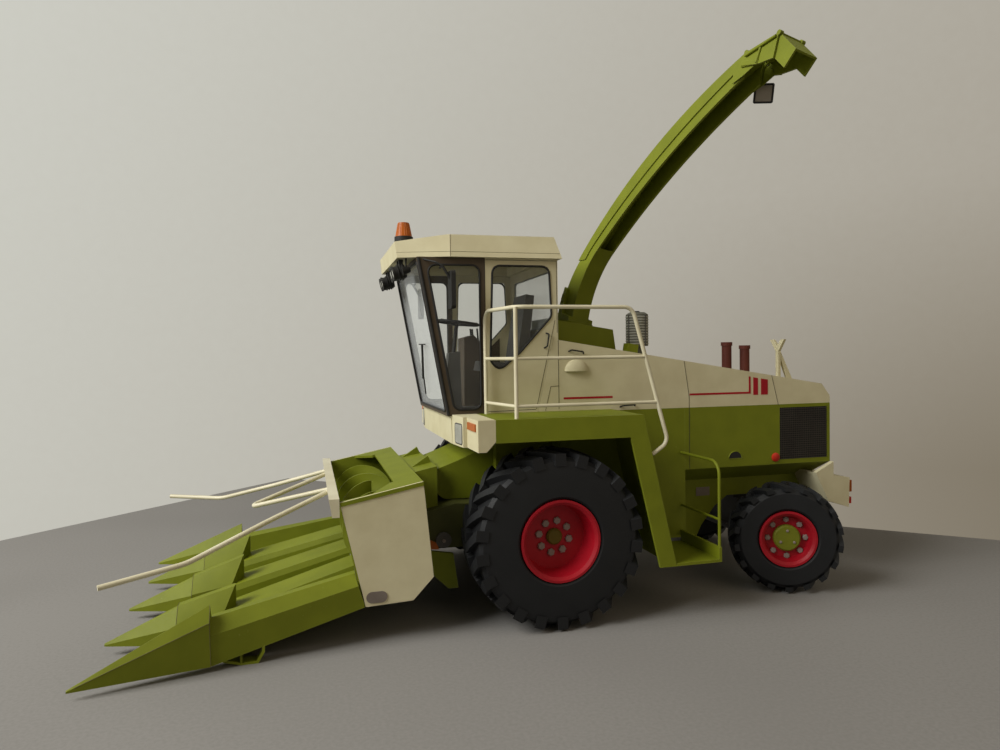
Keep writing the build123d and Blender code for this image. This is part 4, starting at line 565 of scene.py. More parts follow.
for end, size in WHEEL_SIZES.items():
    for side in (1, -1):
        name = f"{end}_{'left' if side > 0 else 'right'}"
        body = f"{name}_wheel"
        matrix = wheel_matrix(end, side)
        radius, width, rim = size["radius"], size["width"], size["rim"]
        shoulder = size["base"] - 0.8
        outer_half = [(rim, -0.12 * radius), (rim + 0.5, -0.9), (rim + 1.2, -0.45),
                      (size["side_base"] - 1, -0.45), (shoulder - 0.4, -0.8), (size["base"], -2.2)]
        inner_half = [(r, -y - width) for r, y in reversed(outer_half)]
        carcass = mesh_of("carcass", turned(outer_half + inner_half, CARCASS_STEPS))
        rows = []
        middle = -width / 2
        tread_rows = ((-0.08, middle - 0.5, 0.0), (0.08 - width, middle + 0.5, pi / size["lugs"]))
        for near, far, start in tread_rows:
            block = lug(radius, size["base"] - 0.4, size["side_base"], near, far, side * size["sweep"],
                        size["half_near"], size["half_far"], LUG_DROP)
            start_turn = Matrix.Rotation(start, 4, "Y")
            rows.append(grow(ring_tree, mesh_of("lug", block, start_turn), tyre_card, Count=size["lugs"]))
        tyre = moved(merged([carcass, *rows]), matrix)
        piece = keep(f"{name}_treaded_tyre", tyre, tyre_card, body, smooth=32)
        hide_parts(f"{name}_tyre")
        # eight nuts on the wheel disc
        across = size["nut"]
        nut = [(across * 0.75, 0), (across, 0.2), (across, 0.75), (across * 0.78, 1.05)]
        hexagon = turned([(0.0, 0.0), *nut, (0.0, 1.05)], 6, closed=False)
        nut_place = Matrix.Translation((0, -size["disc"] - 0.02, size["nut_ring"]))
        nuts = grow(ring_tree, mesh_of("nut", hexagon, nut_place), nut_card, Count=NUTS)
        nut_turn = Matrix.Rotation(radians(size["nut_turn"]), 4, "Y")
        keep(f"{name}_wheel_nuts", moved(nuts, matrix @ nut_turn), nut_card, body)
        # printed face of the hub cap, and three bolts on the large rear ones
        top = -size["disc"] + size["cap_rise"]
        cap_edge, cap_foot = size["cap_r"] + 0.08, -size["disc"] + 0.02
        face = turned([(0.0, top + 0.12), (size["cap_r"] - 0.5, top + 0.12), (cap_edge, top - 0.45),
                       (cap_edge, cap_foot), (0.0, cap_foot)], 32, closed=False)
        cap_finish = olive_card if end == "front" else lime_card
        keep(f"{name}_hub_cap", mesh_of("cap", face, matrix), cap_finish, body, smooth=40)
        if end == "rear":
            bolt = turned([(0.0, 0.0), (0.55, 0.0), (0.55, 0.3), (0.3, 0.45), (0.0, 0.45)], 8, closed=False)
            bolt_place = Matrix.Translation((0, top + 0.1, 3.0))
            bolts = grow(ring_tree, mesh_of("bolt", bolt, bolt_place), nut_card, Count=HUB_BOLTS)
            keep(f"{name}_hub_bolts", moved(bolts, matrix), nut_card, body)
print("pieces so far:", kept)

# %% [markdown]
# ## Stripes and seams on the sides
# The long sides of a card model look plain until the joins between its sheets show. Stripes are red
# strips glued on the cream hood. Seams are scored lines where two sheets meet; a texture could draw
# them, but a thin dark thread half sunk in the card stays crisp from any side. Both sides of the
# machine get the same lines, mirrored.

# %% Stripes on the hood
hood_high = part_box("hood")[1]
BODY_SIDE = 1000 * (hood_high.y - DATUM.y)
SIDES = (("left", 1), ("right", -1))
print("body side at Y, mm:", round(BODY_SIDE, 2))


def on_side(corners, side, out=BODY_SIDE, rise=0.07):
    """A thin plate glued on a side wall: (x, z) corners at Y = out, as thick as rise."""
    return plate([(x, side * out, z) for x, z in corners], (0, side * rise, 0))


def strip(x_from, x_to, low, high, slant=0.0):
    """Corners of an upright strip; slant lowers its rear top corner, as the hood falls."""
    return [(x_from, low), (x_from, high), (x_to, high - slant), (x_to, low)]


for name, side in SIDES:
    stripes = [on_side(strip(-10.9, -31.0, 78.6, 79.4), side), on_side(strip(-64.2, -92.0, 78.6, 79.4), side),
               on_side(strip(-91.1, -92.0, 79.4, 85.7, 0.1), side),
               on_side(strip(-93.2, -95.4, 78.0, 85.3, 0.4), side),
               on_side(strip(-96.8, -100.0, 78.0, 84.7, 0.5), side)]
    keep(f"{name}_hood_stripes", mesh_of("stripes", joined(stripes)), red_card, "machine")

# %% Seams of hull, hood, door and roof
EAVES_Z = 133.7
SEAMS = (
    [(-61.9, 92.4), (-64.0, 78.1), (-64.0, 49.3)],
    [(-101.9, 85.8), (-105.0, 73.5)],
    [(-9.0, 75.0), (-9.0, 101.2)],
    [(-7.8, 108.8), (0.0, 75.4)],
    [(19.0, 74.9), (0.2, 75.2)],
    [(19.3, 74.4), (19.3, 131.6)],
    [(19.0, 131.1), (-8.6, 131.1), (-8.6, 104.0)],
    [(-8.9, 83.8), (-5.8, 83.7), (-3.6, 74.6)],
)
for name, side in SIDES:
    threads = [path_of(*[(x, side * BODY_SIDE, z) for x, z in seam]) for seam in SEAMS]
    wire_piece(f"{name}_panel_seams", threads, black_card, gauge=0.1, sides=5, smooth=None)
    # the roof leans in above its eaves, and its front corner is folded
    eaves = BODY_SIDE + 1.4
    folds = [path_of((-9.6, side * eaves, EAVES_Z), (32.4, side * eaves, EAVES_Z),
                     (51.2, side * 27.5, EAVES_Z)),
             path_of((32.5, side * (BODY_SIDE + 1.98), 131.9), (32.0, side * (BODY_SIDE - 0.56), 140.1))]
    wire_piece(f"{name}_roof_folds", folds, score_card, gauge=0.08, sides=5, smooth=None)
print("seams on each side:", len(SEAMS) + 2)

# %% [markdown]
# ## Handles, scoop, recess and reflectors
# Handles are bent black wire. The scoop is a little cream hood over an air intake: rings of a half
# ellipse that shrink as they come out of the wall, which gives a quarter of an egg with a flat mouth.
# The fuel recess is only a dark half disc with a lip, because card shows depth by colour.

# %% Handles
for name, side in SIDES:
    out, far = side * (BODY_SIDE - 0.1), side * (BODY_SIDE + 1.1)
    handles = [path_of((-4.2, out, 103.9), (-5.0, far, 103.5), (-4.3, far, 98.9), (-3.4, out, 98.3)),
               path_of((-13.1, out, 96.9), (-14.0, far, 97.4), (-18.6, far, 96.7), (-19.2, out, 96.0)),
               path_of((-34.1, out, 75.0), (-34.7, far, 75.5), (-39.9, far, 75.8), (-40.4, out, 75.3))]
    wire_piece(f"{name}_handles", handles, black_card, gauge=0.3, bend=0.5, smooth=50)


# %% Scoop, recess and reflector
ROUND_STEPS = 16


def half_round(centre, low, half, height):
    """(x, z) points of a half ellipse standing on a level line."""
    angles = [pi * i / ROUND_STEPS for i in range(ROUND_STEPS + 1)]
    return [(centre + half * cos(a), low + height * sin(a)) for a in angles]


def scoop(centre, low, half, height, depth, side, rings=6):
    """A quarter egg on a side wall, with a flat mouth below."""
    verts, faces, count = [], [], ROUND_STEPS + 1
    for k in range(rings + 1):
        swell = pi / 2 * k / rings
        small = max(cos(swell), 0.02)
        verts += [Vector((x, side * (BODY_SIDE - 0.05 + depth * sin(swell)), z))
                  for x, z in half_round(centre, low, half * small, height * small)]
    for k in range(rings):
        here, there = k * count, (k + 1) * count
        faces += [(here + i, here + (i + 1) % count, there + (i + 1) % count, there + i)
                  for i in range(count)]
    return verts, faces + [tuple(range(count))[::-1], tuple(range(rings * count, (rings + 1) * count))]


def side_place(x, z, side, out=BODY_SIDE):
    """Puts a piece turned about Y on a side wall, its top pointing outwards."""
    return Matrix.Translation((x, side * out, z)) @ Matrix.Rotation(0 if side > 0 else pi, 4, "Z")


reflector = turned([(0.0, 0.0), (1.85, 0.0), (1.85, 0.35), (1.5, 0.6), (0.0, 0.75)], 24, closed=False)
for name, side in SIDES:
    egg = mesh_of("scoop", scoop(-16.2, 89.3, 4.8, 4.6, 1.9, side))
    keep(f"{name}_air_scoop", egg, cream_card, "machine", smooth=50)
    recess = half_round(-84.7, 52.3, 3.1, 3.0)
    keep(f"{name}_fuel_recess", mesh_of("recess", on_side(recess, side)), black_card, "machine")
    lip = path_of(*[(x, side * BODY_SIDE, z) for x, z in recess[::2]], loop=True)
    wire_piece(f"{name}_recess_lip", [lip], green_card, gauge=0.22, sides=6)
    disc = mesh_of("reflector", reflector, side_place(-103.5, 51.9, side))
    keep(f"{name}_reflector", disc, lamp_red_card, "machine", smooth=40)

# %% [markdown]
# ## Grilles
# The radiator grille is a dark woven mesh. One upright wire and one level wire are copied by the row
# tree, the level ones 0.8 of a wire's width further in, so the two layers touch as in a real mesh.
# Real wire cloth has far more wires; 0.9 mm apart is the finest that still reads as a weave.

# %% Woven mesh in the side grilles and across the tail
MESH_STEP, MESH_GAUGE = 0.9, 0.13
grille_low, grille_high = [BENCH.inverted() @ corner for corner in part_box("grilles")]
bay_low = BENCH.inverted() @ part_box("engine_bay")[0]
wire_black = card("black wire cloth", "#3b362f", "#322d27", "#5c554b", speck=0.1, edge=0.2)


def woven(corner, along, up, material):
    """Wire cloth from a corner: two rows of wires, along and up being its edges in bench millimetres."""
    corner, along, up = Vector(corner), Vector(along), Vector(up)
    inward = along.cross(up).normalized() * 1.6 * MESH_GAUGE
    layers = []
    for wire, run, shift in ((up, along, Vector()), (along, up, inward)):
        one = wires([path_of(corner + shift, corner + shift + wire)], material, gauge=MESH_GAUGE, bend=0.0,
                    sides=5)
        layers.append(grow(row_tree, one, material, Count=int(run.length / MESH_STEP) + 1,
                           Step=tuple(run.normalized() * MESH_STEP)))
    return merged(layers)


wide, tall = grille_high.x - grille_low.x, grille_high.z - grille_low.z
for name, side in SIDES:
    start = (grille_low.x if side < 0 else grille_high.x, side * (BODY_SIDE - 0.2), grille_low.z)
    cloth = woven(start, (side * -wide, 0, 0), (0, 0, tall), wire_black)
    keep(f"{name}_grille_mesh", cloth, wire_black, "machine")
tail_x = bay_low.x
TAIL_CORNERS = ((-22, 51.5), (22, 51.5), (22, 71.0), (-22, 71.0))
tail = plate([(tail_x, y, z) for y, z in TAIL_CORNERS], (-0.1, 0, 0))
keep("tail_grille", mesh_of("tail", tail), black_card, "machine")
cloth = woven((tail_x - 0.4, 22, 51.7), (0, -44, 0), (0, 0, 19), wire_black)
keep("tail_grille_mesh", cloth, wire_black, "machine")
rim = path_of(*[(tail_x - 0.15, y, z) for y, z in TAIL_CORNERS], loop=True)
post = [path_of((tail_x - 0.4, y, 51.5), (tail_x - 0.4, y, 71.0)) for y in (-7.3, 7.3)]
wire_piece("tail_grille_frame", [rim, *post], green_card, gauge=0.5, bend=1.0)
print("grille, mm:", round(wide, 1), "x", round(tall, 1))

# %% [markdown]
# ## Window seals and windscreen wiper
# Each pane sits in a dark rubber seal. It follows the opening's outline with rounded corners, as a
# moulded seal does. The wire tree does this with its Bend input.

# %% Seals and the dark corner posts
WIND_LOW, WIND_HIGH = Vector((32.9, 0, 73.8)), Vector((43.2, 0, 131.8))


def screen_x(z, out=1.2):
    """X of the raked windscreen's outer face at height z."""
    return WIND_LOW.x + (WIND_HIGH.x - WIND_LOW.x) * (z - WIND_LOW.z) / (WIND_HIGH.z - WIND_LOW.z) + out


DOOR_PANE = [(17.6, 93.8), (16.4, 129.0), (-5.6, 129.0), (-6.4, 110.2), (6.1, 96.8), (14.4, 89.9)]
QUARTER_PANE = [(21.3, 76.0), (21.3, 129.0), (screen_x(129.0, -1.8), 129.0), (screen_x(76.0, -1.8), 76.0)]
for name, side in SIDES:
    door = path_of(*[(x, side * BODY_SIDE, z) for x, z in DOOR_PANE], loop=True)
    wire_piece(f"{name}_door_seal", [door], black_card, gauge=0.42, bend=3.0)
    quarter = path_of(*[(x, side * BODY_SIDE, z) for x, z in QUARTER_PANE], loop=True)
    wire_piece(f"{name}_quarter_seal", [quarter], black_card, gauge=0.42, bend=2.8)
    post = path_of((screen_x(74.2, 0.7), side * (BODY_SIDE - 0.15), 74.2),
                   (screen_x(131.4, 0.7), side * (BODY_SIDE - 0.15), 131.4))
    wire_piece(f"{name}_screen_post", [post], black_card, gauge=0.62)
SCREEN_CORNERS = ((-30.3, 75.4), (30.3, 75.4), (30.3, 130.2), (-30.3, 130.2))
screen = path_of(*[(screen_x(z), y, z) for y, z in SCREEN_CORNERS], loop=True)
wire_piece("windscreen_seal", [screen], black_card, gauge=0.4, bend=1.6)
REAR_CORNERS = ((-26, 106), (26, 106), (26, 128), (-26, 128))
tail_pane = path_of(*[(-9.05, y, z) for y, z in REAR_CORNERS], loop=True)
wire_piece("rear_window_seal", [tail_pane], black_card, gauge=0.4, bend=2.5)

# %% Wiper
hub = (screen_x(100.5, 1.5), 7.6, 100.5)
arms = [path_of((screen_x(100.5, 1.7), 0.8, 100.7), (screen_x(100.5, 1.7), 15.1, 100.4)),
        path_of(hub, (screen_x(86.7, 1.9), -3.7, 86.7)),
        path_of((hub[0], 5.6, 100.5), (screen_x(86.7, 1.9), -6.2, 86.7)),
        path_of((screen_x(94.0, 1.6), -1.5, 94.0), (screen_x(80.1, 1.6), -8.2, 80.1))]
wire_piece("wiper", arms, black_card, gauge=0.28, sides=6)
print("seals and wiper:", len(kept))

# %% [markdown]
# ## Lamps
# Headlamps and indicators sit on two light boxes, round work lights and the beacon at the roof, and
# indicators and brake lamps at the tail. A dark rim and some relief make a lamp readable at this
# size, so the headlamps get flutes by the row tree and the beacon gets ribs by the ring tree. Round
# the headlamps the dark rim is painted shade, standing for the recess each lens sits in.

# %% Light boxes, headlamps and indicators
# the inner half of each box stands proud and carries the headlamp; its face leans back outwards
PROUD_INNER, PROUD_OUTER, SET_BACK, OUTER_CORNER = (32.4, 32.02), (31.1, 45.0), (29.65, 45.0), (29.3, 60.5)
SHADE_RIM_CORNERS = ((35.7, 64.5), (43.8, 64.5), (43.8, 71.6), (35.7, 71.6))
FLUTES, FLUTE_STEP = 10, 0.78


def on_lamp_face(y, z, ahead, face=(PROUD_INNER, PROUD_OUTER)):
    """Left-hand bench point on a face of the light box, a given distance ahead of it."""
    (x_in, y_in), (x_out, y_out) = face
    return Vector((x_in + (x_out - x_in) * (y - y_in) / (y_out - y_in) + ahead, y, z))


def mirrored(points, side):
    """Left-hand bench points carried to a side."""
    return [(p[0], p[1] * side, p[2]) for p in points]


def box_outline(front_x, y):
    """Upright outline of the light box at a given Y."""
    return [(front_x, y, 63.6), (front_x, y, 74.3), (23.3, y, 74.3), (23.3, y, 67.0), (26.5, y, 63.6)]


def lamp_panel(y_low, y_high, z_low, z_high, back, ahead, face=(PROUD_INNER, PROUD_OUTER)):
    """Back and front outline of a panel let into a face of the light box."""
    corners = ((y_low, z_low), (y_high, z_low), (y_high, z_high), (y_low, z_high))
    return [[on_lamp_face(y, z, depth, face) for y, z in corners] for depth in (back, ahead)]


for name, side in SIDES:
    halves = joined([between(mirrored(box_outline(*near), side), mirrored(box_outline(*far), side))
                     for near, far in ((PROUD_INNER, PROUD_OUTER), (SET_BACK, OUTER_CORNER))])
    keep(f"{name}_light_box", mesh_of("box", halves), cream_card, "machine")
    glass = between(*[mirrored(part, side) for part in lamp_panel(35.9, 43.6, 64.7, 71.4, -0.2, 0.06)])
    keep(f"{name}_headlamp_glass", mesh_of("glass", glass), silver_card, "machine")
    ridge = plate(mirrored([on_lamp_face(36.4, 65.0, ahead) + Vector((0, shift, 0))
                            for shift, ahead in ((-0.3, 0.0), (0.0, 0.3), (0.3, 0.0))], side), (0, 0, 6.1))
    pitch = (PROUD_OUTER[0] - PROUD_INNER[0]) / (PROUD_OUTER[1] - PROUD_INNER[1]) * FLUTE_STEP
    flutes = grow(row_tree, mesh_of("ridge", ridge), silver_card, Count=FLUTES,
                  Step=(pitch, side * FLUTE_STEP, 0))
    keep(f"{name}_headlamp_lens", flutes, silver_card, "machine")
    # slate rim round the headlamp: painted shade of the recess its lens sits in
    rim = path_of(*mirrored([on_lamp_face(y, z, 0.02) for y, z in SHADE_RIM_CORNERS], side), loop=True)
    wire_piece(f"{name}_headlamp_shade_rim", [rim], slate_card, gauge=0.24, bend=1.0)
    panel = lamp_panel(46.6, 57.6, 70.3, 72.8, -0.2, 0.45, (SET_BACK, OUTER_CORNER))
    blinker = between(*[mirrored(part, side) for part in panel])
    keep(f"{name}_indicator", mesh_of("indicator", blinker), amber_card, "machine")
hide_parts("light_boxes")
print("light boxes lean back by", round(PROUD_INNER[0] - OUTER_CORNER[0], 2), "mm")


# %% Work lights and horns under the roof
def aimed(place, axis):
    """Matrix that lays Y along an axis at a bench point."""
    along = Vector(axis).normalized()
    across = along.cross(Vector((0, 1, 0))).normalized()
    third = across.cross(along)
    return Matrix(((across.x, along.x, third.x, place[0]), (across.y, along.y, third.y, place[1]),
                   (across.z, along.z, third.z, place[2]), (0, 0, 0, 1)))


CAN_RIBS = (-1.7, -0.7, 0.3)
can = [turned([(2.52, y), (2.85, y + 0.12), (2.85, y + 0.42), (2.52, y + 0.54)], 28) for y in CAN_RIBS]
can.append(turned([(2.05, 2.1), (2.75, 2.1), (2.75, 2.75), (2.05, 2.75)], 28))
lens = turned([(0.0, 2.15), (2.1, 2.15), (2.1, 2.4), (1.2, 2.6), (0.0, 2.66)], 28, closed=False)
for name, y in (("far_right", -22.0), ("right", -16.5), ("left", 16.5), ("far_left", 22.0)):
    turn = aimed((49.5, y, 127.2), (1, 0, -0.25))
    shell = mesh_of("ribs", joined(can), turn)
    keep(f"{name}_work_light_ribs", shell, black_card, "machine", smooth=40)
    pane = mesh_of("lens", lens, turn)
    keep(f"{name}_work_light_lens", pane, silver_card, "machine", smooth=40)
HORN = [(0.0, -1.6), (0.9, -1.6), (1.2, -0.6), (1.5, 0.6), (1.75, 1.4), (1.2, 1.5), (0.0, 1.0)]
horn = turned(HORN, 20, closed=False)
for name, side in SIDES:
    turn = aimed((47.6, side * 26.4, 127.4), (1, 0, -0.2))
    keep(f"{name}_horn", mesh_of("horn", horn, turn), black_card, "machine", smooth=40)
    hangers = [path_of((47.6, side * 26.4, 128.0), (47.6, side * 26.4, 132.0)),
               path_of((44.0, side * 29.6, 131.7), (38.2, side * 36.0, 129.4), (35.6, side * 37.0, 127.8),
                       (34.2, side * 37.0, 124.6))]
    wire_piece(f"{name}_roof_hangers", hangers, black_card, gauge=0.34, bend=1.2)

# %% Beacon ribs, collar and cap
beacon_low, beacon_high = [BENCH.inverted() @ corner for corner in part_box("beacon")]
beacon_axis = aimed(((beacon_low.x + beacon_high.x) / 2, (beacon_low.y + beacon_high.y) / 2, 0), (0, 0, 1))
flutes = mesh_of("rib", ([Vector((x, y, z)) for y, r in ((144.3, 3.14), (148.9, 2.25))
                          for x, z in ((-0.16, r), (0.0, r + 0.16), (0.16, r))],
                         [(0, 1, 4, 3), (1, 2, 5, 4), (2, 0, 3, 5), (0, 2, 1), (3, 4, 5)]))
ribs = grow(ring_tree, flutes, amber_card, Count=22)
keep("beacon_ribs", moved(ribs, beacon_axis), amber_card, "machine")
collar = turned([(3.3, 141.2), (3.72, 141.2), (3.72, 143.75), (3.2, 143.95)], 32)
keep("beacon_collar", mesh_of("collar", collar, beacon_axis), black_card, "machine", smooth=40)
BEACON_CAP = [(0.0, 149.42), (2.1, 149.42), (2.3, 149.2), (2.36, 148.7), (2.1, 148.7), (0.0, 148.9)]
cap = turned(BEACON_CAP, 32, closed=False)
keep("beacon_cap", mesh_of("cap", cap, beacon_axis), amber_card, "machine", smooth=40)
print("beacon, mm high:", round(beacon_high.z - beacon_low.z, 1))

# %% Tail lamps
TAIL_LAMPS = (("indicator", 35.6, 40.5, amber_card), ("brake_lamp", 30.6, 33.4, lamp_red_card))
for name, side in SIDES:
    for label, low, high, finish in TAIL_LAMPS:
        x = -138.1 + (41.8 - high) * 0.03
        corners = [(28.0, low), (33.4, low), (33.4, high), (28.0, high)]
        block = plate([(x, side * y, z) for y, z in corners], (-1.7, 0, 0))
        keep(f"{name}_tail_{label}", mesh_of(label, block), finish, "machine")

# %% [markdown]
# ## Small marks on header and frame
# The row dividers are folded card, so each shows a scored line where its nose meets its hump, and the
# outer ones a second line along the nose. The header's end plates have a green top strip and an oval
# reflector, and the frame rails a blank plate.

# %% Scored folds of the row dividers
FOLD_GAUGE = 0.07
for label, middle in (("left", 33.687), ("middle", 0.0), ("right", -33.687)):
    section = ((-6.62, 2.7), (-6.62, 8.9), (-1.6, 14.44), (1.6, 14.44), (6.62, 8.9), (6.62, 2.7))
    joint = [(126.5, middle + shift, z) for shift, z in section]
    wire_piece(f"{label}_divider_fold", [path_of(*joint)], score_card, gauge=FOLD_GAUGE, sides=5,
               smooth=None)
for name, side in SIDES:
    joint = [(113.8, 58.42, 1.9), (113.8, 59.42, 15.7), (113.8, 57.0, 20.62)]
    lines = [path_of(*mirrored(part, side)) for part in (joint, [(149.0, 66.75, 3.6), joint[1]])]
    wire_piece(f"{name}_divider_folds", lines, score_card, gauge=FOLD_GAUGE, sides=5,
               smooth=None)
print("divider folds, across:", [round(side * 59.42, 1) for _, side in SIDES])

# %% Strips, ovals and blank plates
END_PLATE_Y, RAIL_Y = 50.2, 18.0
for name, side in SIDES:
    lip = on_side([(74.0, 48.0), (46.2, 53.5), (46.1, 52.1), (73.6, 46.7)], side, out=END_PLATE_Y, rise=0.25)
    keep(f"{name}_end_plate_strip", mesh_of("lip", lip), green_card, "machine")
    oval = [(62.5 + hand * 1.6 + 1.9 * sin(pi * i / 12) * hand, 15.7 - 1.9 * cos(pi * i / 12) * hand)
            for hand in (1, -1) for i in range(13)]
    patch = mesh_of("oval", on_side(oval, side, out=END_PLATE_Y, rise=0.25))
    keep(f"{name}_oval_reflector", patch, ash_card, "machine")
    blank = mesh_of("plate", on_side(strip(-74.7, -81.0, 35.0, 38.6), side, out=RAIL_Y, rise=0.2))
    keep(f"{name}_rail_plate", blank, ash_card, "machine")

# %% [markdown]
# ## Air screen
# The engine's air screen is a drum of fine wire cloth with pressed hoops. The hoops are one ring
# copied up the drum by the row tree, with four upright straps and a lid knob.

# %% Hoops, straps and lid
drum_low, drum_high = [BENCH.inverted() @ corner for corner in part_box("air_screen")]
drum_x, drum_y = (drum_low.x + drum_high.x) / 2, (drum_low.y + drum_high.y) / 2
drum_r = (drum_high.x - drum_low.x) / 2
groove, crest = drum_r - 0.05, drum_r + 0.22
hoop = turned([(groove, -0.34), (crest, -0.16), (crest, 0.16), (groove, 0.34)], 40)
upright = aimed((drum_x, drum_y, 99.8), (0, 0, 1))
HOOPS, HOOP_STEP = 11, 1.12
hoops = grow(row_tree, mesh_of("hoop", hoop, upright), silver_card, Count=HOOPS, Step=(0, 0, HOOP_STEP))
keep("air_screen_hoops", hoops, silver_card, "machine", smooth=40)
strap_r = drum_r + 0.1
straps = [path_of(*[(drum_x + strap_r * cos(a), drum_y + strap_r * sin(a), z) for z in (98.9, 111.9)])
          for a in (radians(20), radians(110), radians(200), radians(290))]
wire_piece("air_screen_straps", straps, slate_card, gauge=0.3)
knob = turned([(0.0, 12.6), (1.3, 12.6), (1.3, 13.4), (0.8, 13.7), (0.0, 13.7)], 20, closed=False)
keep("air_screen_knob", mesh_of("knob", knob, upright), black_card, "machine", smooth=40)
print("air screen radius, mm:", round(drum_r, 2))

# %% [markdown]
# ## Trim on the spout
# Spout pieces are placed in the spout's own axes, found from its joints: out along the chute, up the
# slewing axis, and across. What sits on the chute rides with the spout, and what sits on the first end
# flap rides with that flap, so the trim follows when the flaps fold.

# %% Spout axes
slew, flap_hinge = joints["spout_slew"], joints["inner_flap_hinge"]
SPOUT_AT = BENCH.inverted() @ Vector(slew["pos_m"])
SPOUT_UP, SPOUT_ACROSS = Vector(slew["axis"]).normalized(), Vector(flap_hinge["axis"]).normalized()
SPOUT_OUT = SPOUT_UP.cross(SPOUT_ACROSS).normalized()


def on_spout(s, t, across):
    """Bench point s out along the chute, t up the slewing axis, and across towards the machine's front."""
    return SPOUT_AT + SPOUT_OUT * s + SPOUT_UP * t + SPOUT_ACROSS * across


def spout_plate(corners, start, thick):
    """A plate lying in the plane of the chute."""
    return plate([on_spout(s, t, start) for s, t in corners], SPOUT_ACROSS * thick)


print("spout points out along", [round(c, 3) for c in SPOUT_OUT])

# %% Linkage and tabs on the first flap, foot brackets and gussets
for name, side in (("front", 1), ("rear", -1)):
    link = [path_of(on_spout(89.6, 84.3, side * 5.75), on_spout(101.8, 86.3, side * 5.75)),
            path_of(on_spout(95.7, 85.1, side * 5.5), on_spout(94.6, 80.6, side * 5.5))]
    wire_piece(f"{name}_flap_link", link, green_card, gauge=0.45, body="inner_end_flap")
    bracket = spout_plate([(87.8, 81.8), (94.9, 80.0), (95.4, 81.2), (88.2, 83.2)], side * 5.28, side * 0.25)
    keep(f"{name}_flap_bracket", mesh_of("bracket", bracket), green_card, "inner_end_flap")
    foot = joined([
        spout_plate([(-6.2, 1.4), (-5.6, 9.0), (-3.4, 16.0), (-1.2, 15.0), (-2.8, 8.2), (-2.8, 1.4)],
                    side * 3.95, side * 1.3),
        spout_plate([(-6.4, 1.3), (-6.4, 4.6), (-2.0, 4.6), (4.6, 2.9), (4.6, 1.3)], side * 3.95, side * 2.0),
        spout_plate([(-4.3, 10.5), (-3.6, 13.0), (-1.9, 12.4), (-2.7, 9.9)], side * 5.2, side * 0.6)])
    keep(f"{name}_spout_foot", mesh_of("foot", foot), green_card, "discharge_spout")
TAB = [(95.8, 86.5), (95.8, 87.3), (97.2, 87.5), (97.2, 86.7)]
tabs = joined([spout_plate(TAB, start, 1.6) for start in (2.2, -3.8)])
keep("flap_hinge_tabs", mesh_of("tabs", tabs), green_card, "inner_end_flap")

gusset = [(84.0, 84.0), (88.6, 84.9), (91.6, 82.6), (92.6, 80.3), (88.4, 78.6), (84.0, 77.4)]
gussets = joined([spout_plate(gusset, side * 4.48, side * 0.18) for side in (1, -1)])
keep("chute_end_gussets", mesh_of("gussets", gussets), green_card, "discharge_spout")

# %% Spout lamp: a shallow housing turned towards where the chute throws
glare = (SPOUT_ACROSS * 0.72 + SPOUT_OUT * 0.62 - SPOUT_UP * 0.3).normalized()
sideways = SPOUT_UP.cross(glare).normalized()
upwards = glare.cross(sideways)


def lamp_at(right, high, ahead):
    """Bench point on the spout lamp, measured from the middle of its glass."""
    return on_spout(84.2, 78.4, -9.0) + sideways * right + upwards * high + glare * ahead


SQUARE = ((-1, -1), (1, -1), (1, 1), (-1, 1))


def lamp_block(half_front, half_back, front, back):
    """A square block along the spout lamp's axis, from its front to its back."""
    return between(*[[lamp_at(x * half, y * half, ahead) for x, y in SQUARE]
                     for half, ahead in ((half_front, front), (half_back, back))])


shell = mesh_of("housing", lamp_block(2.9, 1.9, 0.0, -2.2))
housing = keep("spout_lamp_housing", shell, black_card, "discharge_spout")
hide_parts("spout_lamp")
pane = mesh_of("lens", lamp_block(2.65, 2.65, 0.12, -0.1))
keep("spout_lamp_lens", pane, lens_card, "discharge_spout")
rim = path_of(*[lamp_at(2.85 * x, 2.85 * y, 0.15) for x, y in SQUARE], loop=True)
arm = path_of(on_spout(83.6, 80.6, -4.0), on_spout(83.6, 80.4, -9.6), lamp_at(0, 1.2, -1.4))
wire_piece("spout_lamp_rim", [rim, arm], black_card, gauge=0.34, bend=0.3, body="discharge_spout")
print("pieces so far:", len(kept))

# %% [markdown]
# ## Adapter, drive case and pulleys
# The feeder meets the header in an adapter: a plain tray with two upright flags on its rim. Under the
# feeder hangs the header's drive case, in a darker olive card: painted shade, since the case hangs in
# the feeder's shadow. A belt pulley sits on each side of it: a stack of card discs with a grey pin
# through it, beside an amber guard.

# %% Adapter tray and drive case
ADAPTER_HALF, FLAG_T, CASE_HALF = 24.0, 1.2, 29.0
TRAY = ((46.0, 52.6), (37.0, 54.4), (37.0, 38.0), (44.6, 38.0))
FLAG = ((45.6, 52.4), (38.6, 57.0), (37.2, 54.1), (45.2, 52.3))
CASE = ((43.3, 38.3), (31.0, 40.9), (16.0, 40.2), (17.5, 31.0), (27.0, 24.6), (43.3, 24.6))
tray = plate([(x, -ADAPTER_HALF, z) for x, z in TRAY], (0, 2 * ADAPTER_HALF, 0))
flags = [plate([(x, y - FLAG_T / 2, z) for x, z in FLAG], (0, FLAG_T, 0)) for y in (-17.0, 12.0)]
folded = mesh_of("tray", joined([tray, *flags]))
adapter = keep("header_adapter_tray", folded, green_card, "machine")
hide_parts("header_adapter")
case = plate([(x, -CASE_HALF, z) for x, z in CASE], (0, 2 * CASE_HALF, 0))
# the drive case's darker olive is painted shade
keep("drive_case", mesh_of("case", case), painted_shade_olive_card, "machine")

